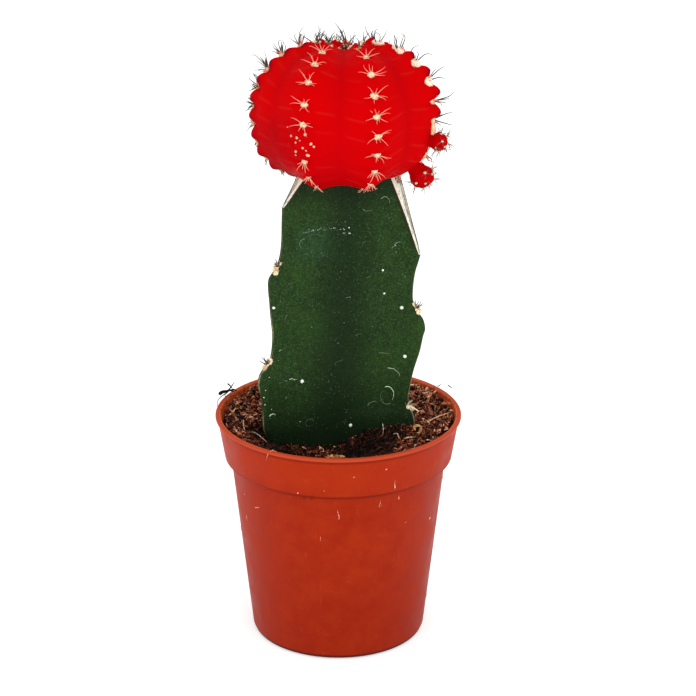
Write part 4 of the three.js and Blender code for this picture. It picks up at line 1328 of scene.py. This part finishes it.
def make_litter(soil):
    """A chip of bark behind the front rim, a curled flake, a dark twig on the rim and a few wisps."""
    make_bark_chip(soil)
    flake = []
    for k in range(3):
        base = Vector((17.3 + 0.1 * k, -10.2 - 0.22 * k, soil_height(17.3, -10.2, soil.level / MM) + 1.3))
        points = [base + Vector((x, 0, z)) for x, z in FLAKE_CURL]
        flake.append(Strand(points, 0.22, (0.50, 0.21, 0.07), (0.70, 0.40, 0.16)))
    finish_piece(roll(flake, rings=12, sides=6, blunt=True), "curled_flake", [crumb_finish("flake")])
    twigs = [Strand([Vector(p) for p in points], radius, root, tip) for points, radius, root, tip in TWIGS]
    finish_piece(roll(twigs, rings=9, sides=6), "dark_twig", [crumb_finish("twig")])


def make_bark_chip(soil):
    """A domed chip of many splinters."""
    draw = random.Random(21)
    chips = []
    for _ in range(34):
        x, y = draw.uniform(-2.2, 2.2), draw.uniform(-0.5, 0.5)
        at = Vector((-0.6 + x, -22.4 + y, 50.9 - 0.14 * x * x - abs(draw.gauss(0, 0.45))))
        long, wide = draw.uniform(0.3, 0.8), draw.uniform(0.16, 0.32)
        tint = Vector(soil.brown).lerp(Vector((0.62, 0.30, 0.10)), draw.uniform(0.0, 1))
        turn = draw.gauss(0, 0.4)
        axes = (Vector((math.cos(turn), 0, math.sin(turn))) * long, Vector((0, wide, 0)), UP * wide * 0.8)
        chips.append((at, axes, 0.6, tint))
    bm = blobs(chips, rings=6, sides=8)
    finish_piece(bm, "bark_chip", [crumb_finish("bark")], smooth=False)


# ---------------------------------------------------------------- scion


def crest_line():
    """The crest of a rib from the middle of the crown to the graft: distances along it, radii and heights."""
    steps = 2400
    distances, radii, heights = [0.0], [], []
    for i in range(steps + 1):
        angle = math.pi * i / steps
        r = SCION_RADIUS * math.sin(angle) ** (2 / SQUARENESS)
        level = abs(math.cos(angle)) ** (2 / SQUARENESS)
        z = SCION_MIDDLE.z + (SCION_RISE * level if angle < math.pi / 2 else -SCION_FALL * level)
        if z < SCION_BOTTOM:
            break
        if radii:
            distances.append(distances[-1] + math.hypot(r - radii[-1], z - heights[-1]))
        radii.append(r)
        heights.append(z)
    return distances, radii, heights


CREST, CREST_R, CREST_Z = crest_line()
CREST_END = CREST[-1]
# The crest's radii as far as its widest place, and how many areoles a rib has room for.
CREST_UPPER = CREST_R[: CREST_R.index(max(CREST_R)) + 1]
AREOLES = int((CREST_END - FIRST_AREOLE - 0.6) / AREOLE_STEP) + 1


def on_crest(table, value):
    """Radius, height and outward slope of the crest where a rising table reaches a value."""
    i = clamp(bisect_left(table, value), 1, len(table) - 1)
    t = clamp((value - table[i - 1]) / (table[i] - table[i - 1]))
    slope_r, slope_z = CREST_R[i] - CREST_R[i - 1], CREST_Z[i] - CREST_Z[i - 1]
    size = math.hypot(slope_r, slope_z)
    r, z = lerp(CREST_R[i - 1], CREST_R[i], t), lerp(CREST_Z[i - 1], CREST_Z[i], t)
    return r, z, -slope_z / size, slope_r / size


def rib_turn(rib):
    return math.radians(RIBS[rib].turn)


def half_gap(rib, side):
    """Half the angle to the neighbouring rib on one side (-1 or 1)."""
    neighbour = RIBS[(rib + side) % len(RIBS)]
    return math.radians((neighbour.turn - RIBS[rib].turn) * side % 360) / 2


def shifted(rib, s):
    """How far a rib's areoles are moved down it, which evens out at the crown and the graft."""
    return RIBS[rib].shift * smoothstep(s, 0, 10) * (1 - smoothstep(s, CREST_END - 6, CREST_END))


def chin_at(s, rib):
    """The share of a chin's height at a distance along the crest. A chin stands between two areoles."""
    if s < FIRST_AREOLE:
        return 0
    number, t = divmod((s - FIRST_AREOLE) / AREOLE_STEP, 1)
    peak = CHIN_PEAK + 0.09 * rough((rib * 3.1, number * 1.9, 0.5), 1)
    turn = (t - peak) / (peak if t < peak else 1 - peak)
    uneven = 1 + 0.32 * rough((rib * 2.3, number * 1.3, 4.5), 1)
    return (0.5 + 0.5 * math.cos(math.pi * turn)) ** 0.6 * uneven


def scion_skin(rib, across, s, chin):
    """A point of the skin. across runs from one furrow (-1) over the crest (0) to the next (1), s down it."""
    along = min(s + shifted(rib, s) * math.cos(math.pi / 2 * across), CREST_END)
    r, z, slope_r, slope_z = on_crest(CREST, along)
    above = (1 - (r / SCION_RADIUS) ** 2) ** 2 if z > SCION_MIDDLE.z else 0
    turn = rib_turn(rib) + across * half_gap(rib, -1 if across < 0 else 1)
    plan = outwards(turn + math.radians(CROWN["fan"]) * math.sin(turn) * above) * r
    plan.y += CROWN["back"] * above
    if above:
        _, z, slope_r, slope_z = on_crest(CREST_UPPER, plan.length)
    ends = smoothstep(r, 1, 7) * (1 - 0.6 * smoothstep(along, CREST_END - 6, CREST_END))
    furrow = FURROW * ends * (0.5 - 0.5 * math.cos(math.pi * across)) ** FURROW_SHAPE
    grown = lerp(RIBS[rib].young, 1, smoothstep(s, RIBS[rib].ripe - 12, RIBS[rib].ripe))
    height = RIBS[rib].chin * grown * (1 - smoothstep(s, RIBS[rib].fade - 3, RIBS[rib].fade))
    bump = height * chin * ends * math.exp(-((across / CHIN_WIDTH) ** 2)) + 0.07 * chin * ends
    wobble = IRREGULAR * noise.noise(Vector((plan.x, plan.y, z)) * 0.12) * ends
    sink = CROWN["depth"] * math.exp(-((r / CROWN["spread"]) ** 2)) if above else 0
    lift = bump + wobble - furrow
    at = Vector((SCION_MIDDLE.x, SCION_MIDDLE.y, z + slope_z * lift - sink))
    return at + plan + (plan.normalized() * slope_r * lift if plan.length > 1e-6 else Vector())


def areole_frame(rib, index):
    """Where an areole sits, with the directions down the rib, across it and out of the skin."""
    s = FIRST_AREOLE + index * AREOLE_STEP
    at = scion_skin(rib, 0, s, 0)
    down = (scion_skin(rib, 0, s + 0.8, 0) - scion_skin(rib, 0, s - 0.8, 0)).normalized()
    across = outwards(rib_turn(rib) + math.pi / 2)
    return at, down, across, -across.cross(down).normalized()


def all_areoles():
    """Every areole that carries spines, as (rib, index). Offsets take the place of the others."""
    taken = {(young.rib, young.areole) for young in OFFSETS}
    return [(rib, index) for rib in range(len(RIBS)) for index in range(AREOLES) if (rib, index) not in taken]


def make_flesh(scion):
    """The ribbed flesh, closed flat where it is grafted on, with masks for its furrows, its bands, the
    painted shade under the side ribs' chins and its depth.
    """
    ribs = len(RIBS)
    rings, sides = 230, ribs * 38
    closing = 4
    drift = random.Random(31)
    flanks, steps = 2 * ribs, AREOLES + 2
    bands = [[drift.uniform(0.2, 1) * (drift.random() < 0.8) for _ in range(steps)] for _ in range(flanks)]

    def spot(around):
        place = around * ribs
        rib = round(place)
        even = (place - rib) * 2
        return rib % ribs, math.copysign(abs(even) ** 1.3, even)

    def place(item, along, around):
        ring = along * rings
        rib, across = spot(around)
        if ring > rings - closing:
            rim = scion_skin(rib, across, CREST_END, 0)
            t = (ring - (rings - closing)) / closing
            return Vector((lerp(rim.x, SCION_MIDDLE.x, t), lerp(rim.y, SCION_MIDDLE.y, t), SCION_BOTTOM))
        s = CREST_END * ring / (rings - closing)
        return scion_skin(rib, across, s, chin_at(s, rib))

    def paint(item, along, around):
        rib, across = spot(around)
        s = CREST_END * min(along * rings / (rings - closing), 1)
        t = ((s - FIRST_AREOLE) / AREOLE_STEP) % 1
        strength = bands[2 * rib + (across > 0)][int(max(s - FIRST_AREOLE, 0) / AREOLE_STEP)]
        inner = smoothstep(abs(across), 0.25, 0.4) * (1 - smoothstep(abs(across), 0.7, 0.95))
        band = strength * inner * math.exp(-(((t - 0.3) / 0.06) ** 2))
        # painted shade under the chins of the side ribs, carried as negative bands
        under = smoothstep(t, 0.45, 0.65) * (1 - smoothstep(t, 0.9, 1)) * (rib in SIDE_RIBS)
        wide = 0.13 if rib == RIGHT_RIB or across < 0 else 0.24
        return (abs(across) ** 3.5, band - under * math.exp(-((across / wide) ** 2)), s / CREST_END)

    bm = weave(1, rings, sides, place, paint)
    finish_piece(bm, "scion_flesh", [flesh_finish(scion)], "scion")


def fuzz(draw, middle, beside, along, facing, size, count, reach):
    """Short hairs that stand out of a felt pad."""
    hairs = []
    for _ in range(count):
        angle, lean = draw.uniform(0, 2 * math.pi), math.acos(draw.uniform(0.05, 1))
        way = beside * math.cos(angle) * math.sin(lean) + along * math.sin(angle) * math.sin(lean)
        way += facing * math.cos(lean)
        root = middle + way * size * 0.75
        stray = Vector((draw.uniform(-1, 1), draw.uniform(-1, 1), draw.uniform(-1, 1)))
        aim = (way + 0.5 * stray).normalized()
        tip = root + aim * reach * draw.uniform(0.5, 1)
        pale = draw.uniform(0.8, 1.15)
        hairs.append(Strand([root, (root + tip) / 2, tip], 0.045, [pale] * 3, [pale] * 3))
    return hairs


def rib_wool(rib, index):
    """How the wool of an areole differs: size, stretch along the rib, height off the skin, and tone."""
    if rib == RIGHT_RIB and index >= 7:
        return 0.85, 1.9, 0.05, (1.06, 0.84, 0.78)
    if rib == RIGHT_RIB and index >= 5:
        return 1.156, 1.9, 0.3, (1.06, 0.84, 0.78)
    if rib == RIGHT_RIB:
        return 1.7, 1.9, 0.55, (1.06, 1.06, 1.2)
    if rib == LEFT_RIB:
        return 0.9, 1.25, 0.55, (1.04, 0.80, 0.74)
    lift = 0.16 if rib in FRONT_RIBS else 0.55
    return 1, 1, lift, (0.62, 0.30, 0.12) if (rib, index) in BROWN_PADS else (1, 0.96, 0.92)


def make_wool(scion):
    """A felted pad on every areole of the scion, longer along the rib on the sides."""
    draw = random.Random(41)
    pads, hairs = [], []
    # on the right-hand rib, whose chins end early, the wool runs on between the areoles
    for rib, index in all_areoles() + [(RIGHT_RIB, between) for between in (6.5, 7, 7.5, 8.4)]:
        at, down, across, out = areole_frame(rib, index)
        grown, stretch, lift, tone = rib_wool(rib, index)
        small = lerp(0.55, 0.88, smoothstep(index, 0, 3)) * lerp(1, 0.75, smoothstep(index, 5.5, 9)) * grown
        for k in range(6):
            angle = k * 2 * math.pi / 5 + draw.uniform(-0.5, 0.5)
            shift = 0.0 if k == 0 else draw.uniform(0.3, 0.55) * small
            aside, below = math.cos(angle) * shift, -math.sin(angle) * shift * stretch
            middle = at + across * aside + down * below + out * lift
            size = small * draw.uniform(0.4, 0.62) * (1.35 if k == 0 else 1)
            pads.append((middle, (across * size, down * size * stretch, out * size * 0.85), 0.45, tone))
        middle = at + out * 0.1
        hairs += fuzz(draw, middle, across, down * stretch, out, 0.95 * small, scion.pad_hairs, 0.5 * small)
    felt, fluff = wool_finish("areole_felt", scion.wool), wool_finish("areole_fuzz", scion.wool)
    finish_piece(blobs(pads, rings=7, sides=10), "areole_wool", [felt])
    finish_piece(roll(hairs, rings=3, sides=3), "areole_fuzz", [fluff])


def spine(draw, root, aim, size, radius, pale, dark, darkness, bow=0.13, top=None):
    """A spine that bows a little, hooks at its tip and darkens outwards. It stays under the height `top`."""
    side = Vector((draw.uniform(-1, 1), draw.uniform(-1, 1), draw.uniform(-0.4, 1)))
    bend = (side - aim * side.dot(aim)) * bow * size
    start = root - aim * 0.35
    lower, upper = root + aim * size * 0.36 + bend * 0.7, root + aim * size * 0.72 + bend
    points = [start, lower, upper, root + aim * size]
    if top is not None and max(p.z for p in points) > top:
        squeeze = (top - start.z) / (max(p.z for p in points) - start.z)
        points = [Vector((p.x, p.y, start.z + (p.z - start.z) * squeeze)) for p in points]
    foot = Vector(pale).lerp(Vector(dark), clamp(darkness * 1.2 - 0.25))
    end = Vector(pale).lerp(Vector(dark), clamp(darkness))
    return Strand(points, radius, foot, end)


def spray_of(rib, index, scion, draw):
    """One areole's spines: a star, combed down near the graft, that is long and dark on the sides."""
    at, down, across, out = areole_frame(rib, index)
    red_lit_spine, pale_horn = Vector(scion.red_lit_spine), Vector(scion.spine)
    left = rib == LEFT_RIB
    front = rib not in SIDE_RIBS and index > (1 if rib in FRONT_RIBS else 2)
    droop = smoothstep(index, 5.5, 8.5)
    young = 1 - smoothstep(index, 0, 2)
    missing = 0.1 if front else {RIGHT_RIB: 0.25, LEFT_RIB: 0.02}.get(rib, 0.4 + 0.4 * young)
    longer = {RIGHT_RIB: 1.2, LEFT_RIB: 1.08}.get(rib, 1.05)
    thick = scion.spine_radius / MM * (0.72 if front else (1.0 if left else 1.3) - 0.35 * young)
    strands = []
    for angle, size, lift in SPRAY * (2 if left and index < 7 else 1):
        if draw.random() < missing:
            continue
        angle += draw.gauss(0, 9)
        down_angle = math.copysign(180 - (180 - abs(angle)) * 0.45, angle)
        swing = math.radians(lerp(angle, down_angle, droop))
        rise = lift + draw.uniform(-0.1, 0.15) + 1.1 * young + 0.3 * abs(math.cos(swing))
        size *= draw.uniform(0.75, 1.08) * scion.spine_stretch * lerp(1, 0.72, droop)
        # front spines are painted red, as painted light from the flesh behind them
        if front:
            pale, darkness, bow = red_lit_spine.lerp(pale_horn, 0.5 * droop), 0, 0.1
        else:
            pale, darkness = pale_horn, draw.uniform(0.92, 1.0)
            rise += 0.35 if left else 0.7
            size *= draw.uniform(1.05, 1.5) * lerp(1, 0.75, droop) * (0.7 if left and index > 4 else 1)
            size *= (1 - 0.35 * young) * longer
            bow = 0.12 * draw.uniform(0.5, 3)
        if index == 0 and draw.random() < 0.75:
            continue
        aim = (out * rise - down * math.cos(swing) + across * math.sin(swing)).normalized()
        # spines that lie over the front of the flesh are shorter, and are painted with the red light of the
        # flesh that shows through them
        if not front and index > 1 and aim.y < (-0.45 if rib == RIGHT_RIB else -0.7):
            pale, darkness, size = red_lit_spine.lerp(pale_horn, 0.4), 0, size * 0.6
        strand = spine(
            draw, at + out * 0.2, aim, size, thick, pale, scion.spine_tip, darkness, bow, SCION_TOP - 0.1
        )
        strands.append(strand._replace(root_tint=red_lit_spine.lerp(pale_horn, 0.7)) if front else strand)
    return strands


def make_spines(scion):
    """The spines of every areole and of the crown."""
    draw = random.Random(29)
    strands = []
    for rib, index in all_areoles():
        strands += spray_of(rib, index, scion, draw)
    strands += crown_spines(scion, draw)
    finish_piece(roll(strands, rings=7, sides=6), "scion_spines", [spine_finish("scion_spine")])


def crown_spines(scion, draw):
    """The tuft of new spines at the growing point, and the few long ones beside it."""
    centre = scion_skin(0, 0, 0, 0)
    top = SCION_TOP - 0.02
    strands = []
    for k in range(7):
        turn = k * SPIRAL
        root = centre + outwards(turn) * 1.7 * math.sqrt(k / 7)
        aim = (outwards(turn) * draw.uniform(0.1, 0.9) + UP).normalized()
        tone = Vector((0.16, 0.09, 0.02)).lerp(Vector(scion.spine_tip), 0.8 * draw.random())
        size = draw.uniform(1.4, 2.8)
        strands.append(spine(draw, root, aim, size, 0.13, (0.30, 0.19, 0.05), tone, 1, 0.2, top))
    for x, y, lean, turn, size in TALL_SPINES:
        lean, turn = math.radians(lean), math.radians(turn)
        aim = outwards(turn) * math.sin(lean) + UP * math.cos(lean)
        strands.append(spine(draw, centre + Vector((x, y, 0)), aim, size - 0.05, 0.15, (0.10, 0.08, 0.07),
                             scion.spine_tip, 1, 0.03, top))
    return strands


def sunk_pads(draw, young, middle):
    """Pale buds round an offset that is sunk in its rib."""
    pads = []
    s = FIRST_AREOLE + young.areole * AREOLE_STEP
    for aside, below, size in SUNK_BUDS:
        share_across = aside / (SCION_RADIUS * half_gap(young.rib, 1))
        root = scion_skin(young.rib, share_across, s + below, chin_at(s + below, young.rib))
        way = (root - middle).normalized()
        root = middle + way * max((root - middle).length, young.radius * 1.09)
        beside = way.orthogonal().normalized()
        axes = (beside * size, way.cross(beside) * size * draw.uniform(0.8, 1.3), way * size * 0.7)
        pads.append((root, axes, 0.3, Vector((1.08, 0.72, 0.66)) * draw.uniform(0.8, 1)))
    return pads


def bud_ways(draw, young, across, down, out):
    """Directions from an offset's middle to its buds, which spiral down from its top."""
    reach = 1.25 if young.out > 0 else 0.55
    ways = []
    for k in range(young.buds):
        tip = 1 - (k + 0.5) / young.buds * reach
        ring = math.sqrt(max(1 - tip * tip, 0))
        angle = k * SPIRAL + 0.3 * draw.random()
        ways.append(out * tip + across * ring * math.cos(angle) + down * ring * math.sin(angle))
    return ways


def make_offsets(scion):
    """Young offsets: small balls with chins, each on a short stalk, and their wool and spines."""
    draw = random.Random(53)
    shapes, pads, hairs, strands = [], [], [], []
    for young in OFFSETS:
        at, down, across, out = areole_frame(young.rib, young.areole)
        middle = at + out * young.out - down * young.up
        if not young.spiny:
            pads += sunk_pads(draw, young, middle)
        buds = bud_ways(draw, young, across, down, out)
        shapes.append((young, middle, out, buds))
        for way in buds if young.spiny else []:
            root = middle + way * young.radius * 1.06
            beside = way.orthogonal().normalized()
            size = draw.uniform(0.2, 0.32)
            above = way.cross(beside)
            pads.append((root, (beside * size, above * size, way * size * 0.9), 0.3, (1, 0.9, 0.85)))
            hairs += fuzz(draw, root, beside, above, way, size, 8, 0.3)
            for _ in range(4):
                stray = Vector((draw.gauss(0, 1), draw.gauss(0, 1), draw.gauss(0, 1)))
                aim = (way + 0.8 * stray).normalized()
                long, darkness = draw.uniform(1.1, 2.4), draw.uniform(0.85, 1)
                strands.append(
                    spine(draw, root, aim, long, 0.085, scion.spine, scion.spine_tip, darkness, 0.15)
                )

    def heading(out, along, around):
        polar, angle = math.pi * along, 2 * math.pi * around
        side = out.orthogonal().normalized()
        level = side * math.cos(angle) + out.cross(side) * math.sin(angle)
        return -out * math.cos(polar) + level * math.sin(polar)

    def place(item, along, around):
        young, middle, out, buds = shapes[item]
        way = heading(out, along, around)
        chins = sum(math.exp(-((way - bud).length / 0.32) ** 2) for bud in buds)
        reach = 0.94 + 0.12 * min(chins, 1.2) + 0.08 * rough(way, 0.8, young.areole)
        ball = middle + way * young.radius * reach
        # the back of the ball draws out into the stalk
        stalk = smoothstep(-way.dot(out), 0.55, 1) if young.out > 0 else 0
        return ball - out * stalk * (young.out + 1.2)

    def paint(item, along, around):
        """Young flesh is a deeper red, with painted shade underneath. The sunk offset's is the rib's own."""
        young, _, out, _ = shapes[item]
        if not young.spiny:
            return (0, 0, 0.6)
        return (1, -0.55 * smoothstep(-heading(out, along, around).z, 0.45, 1), 0.15)

    bm = weave(len(shapes), 26, 36, place, paint)
    finish_piece(bm, "offset_flesh", [flesh_finish(scion)])
    felt, fluff = wool_finish("offset_felt", scion.wool), wool_finish("offset_fuzz", scion.wool)
    finish_piece(blobs(pads, rings=6, sides=8), "offset_wool", [felt])
    finish_piece(roll(hairs, rings=3, sides=3), "offset_fuzz", [fluff])
    finish_piece(roll(strands, rings=6, sides=5), "offset_spines", [spine_finish("offset_spine")])


# ---------------------------------------------------------------- stage


def area_light(name, place, size, power):
    """A soft square light that faces the plant's middle."""
    light = bpy.data.lights.new(name, "AREA")
    light.energy, light.size = power, size
    lamp = bpy.data.objects.new(name, light)
    bpy.context.scene.collection.objects.link(lamp)
    lamp.location = place
    lamp.rotation_euler = (Vector((0, 0, 0.075)) - Vector(place)).to_track_quat("-Z", "Y").to_euler()


def make_stage(stage):
    """A white floor and sky, two soft lights and the camera."""
    scene = bpy.context.scene
    scene.view_settings.view_transform = "Standard"
    world = bpy.data.worlds.new("studio")
    world.use_nodes = True
    world.node_tree.nodes["Background"].inputs["Color"].default_value = (1, 1, 1, 1)
    world.node_tree.nodes["Background"].inputs["Strength"].default_value = stage.sky
    scene.world = world

    bm = bmesh.new()
    bmesh.ops.create_grid(bm, x_segments=2, y_segments=2, size=3)
    mesh = bpy.data.meshes.new("floor")
    bm.to_mesh(mesh)
    bm.free()
    floor = bpy.data.objects.new("floor", mesh)
    scene.collection.objects.link(floor)
    paper = Finish("floor_paper", roughness=0.9, specular=0.0)
    paper.shader.inputs["Emission Strength"].default_value = 0.4
    mesh.materials.append(paper.done(Base_Color=stage.floor, Emission_Color=(1, 1, 1)))

    area_light("key", (0.4, -0.75, 0.75), 0.7, stage.key)
    area_light("fill", (-0.6, -0.6, 0.5), 0.7, stage.key * 0.5)

    camera = bpy.data.cameras.new("camera")
    camera.lens, camera.sensor_width, camera.shift_x = stage.lens, 36, stage.shift
    camera.clip_start, camera.clip_end = 0.01, 20
    holder = bpy.data.objects.new("camera", camera)
    scene.collection.objects.link(holder)
    holder.location = (0, -stage.distance, stage.camera_height)
    holder.rotation_euler = (stage.pitch, 0, 0)
    scene.camera = holder


# ---------------------------------------------------------------- operators


class CACTUS_OT_stage(Operator):
    """Make the floor, the lights and the camera"""

    bl_idname = "cactus.stage"
    bl_label = "Stage"

    def execute(self, context):
        make_stage(context.scene.cactus_stage)
        return {"FINISHED"}


class CACTUS_OT_pot(Operator):
    """Make the moulded pot with its drainage holes"""

    bl_idname = "cactus.pot"
    bl_label = "Pot"

    def execute(self, context):
        make_pot(context.scene.cactus_pot)
        return {"FINISHED"}


class CACTUS_OT_stray_fibres(Operator):
    """Stick fibres and flecks of the mix to the pot"""

    bl_idname = "cactus.stray_fibres"
    bl_label = "Stray fibres"

    def execute(self, context):
        make_stray_fibres(context.scene.cactus_pot, context.scene.cactus_soil)
        return {"FINISHED"}


class CACTUS_OT_soil(Operator):
    """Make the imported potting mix"""

    bl_idname = "cactus.soil"
    bl_label = "Potting mix"

    def execute(self, context):
        make_soil(context.scene.cactus_soil)
        return {"FINISHED"}


class CACTUS_OT_litter(Operator):
    """Scatter crumbs, fibres, bark and twigs over the mix"""

    bl_idname = "cactus.litter"
    bl_label = "Crumbs and litter"

    def execute(self, context):
        make_crumbs(context.scene.cactus_soil)
        make_fibres(context.scene.cactus_soil)
        make_litter(context.scene.cactus_soil)
        return {"FINISHED"}


class CACTUS_OT_stock(Operator):
    """Make the three-winged rootstock with its slanting cuts"""

    bl_idname = "cactus.stock"
    bl_label = "Rootstock"

    def execute(self, context):
        make_stock(context.scene.cactus_stock)
        return {"FINISHED"}


class CACTUS_OT_stock_details(Operator):
    """Add the rootstock's areoles, scuffs and corky dots"""

    bl_idname = "cactus.stock_details"
    bl_label = "Rootstock details"

    def execute(self, context):
        make_stock_areoles(context.scene.cactus_scion)
        make_stem_marks()
        return {"FINISHED"}


class CACTUS_OT_scion(Operator):
    """Make the scion's ribbed flesh"""

    bl_idname = "cactus.scion"
    bl_label = "Scion"

    def execute(self, context):
        make_flesh(context.scene.cactus_scion)
        return {"FINISHED"}


class CACTUS_OT_scion_details(Operator):
    """Add the scion's wool, spines and young offsets"""

    bl_idname = "cactus.scion_details"
    bl_label = "Wool, spines and offsets"

    def execute(self, context):
        make_wool(context.scene.cactus_scion)
        make_spines(context.scene.cactus_scion)
        make_offsets(context.scene.cactus_scion)
        return {"FINISHED"}


class CACTUS_PT_panel(Panel):
    """Settings and steps of the moon cactus"""

    bl_idname = "CACTUS_PT_panel"
    bl_label = "Moon cactus"
    bl_space_type = "VIEW_3D"
    bl_region_type = "UI"
    bl_category = "Cactus"

    def draw(self, context):
        for group in SETTINGS:
            box = self.layout.box()
            settings = getattr(context.scene, group)
            for name in settings.__annotations__:
                box.prop(settings, name)
        for step in STEPS:
            self.layout.operator(step.bl_idname)


SETTINGS = {
    "cactus_pot": PotSettings,
    "cactus_soil": SoilSettings,
    "cactus_stock": StockSettings,
    "cactus_scion": ScionSettings,
    "cactus_stage": StageSettings,
}
STEPS = (
    CACTUS_OT_stage, CACTUS_OT_pot, CACTUS_OT_stray_fibres, CACTUS_OT_soil, CACTUS_OT_litter, CACTUS_OT_stock,
    CACTUS_OT_stock_details, CACTUS_OT_scion, CACTUS_OT_scion_details,
)


def register():
    for cls in (*SETTINGS.values(), *STEPS, CACTUS_PT_panel):
        bpy.utils.register_class(cls)
    for name, settings in SETTINGS.items():
        setattr(bpy.types.Scene, name, PointerProperty(type=settings))


def unregister():
    for name in SETTINGS:
        delattr(bpy.types.Scene, name)
    for cls in (CACTUS_PT_panel, *reversed(STEPS), *reversed(SETTINGS.values())):
        bpy.utils.unregister_class(cls)


def main():
    register()
    for step in STEPS:
        group, name = step.bl_idname.split(".")
        getattr(getattr(bpy.ops, group), name)()
    bpy.context.view_layer.update()


if __name__ == "__main__":
    main()
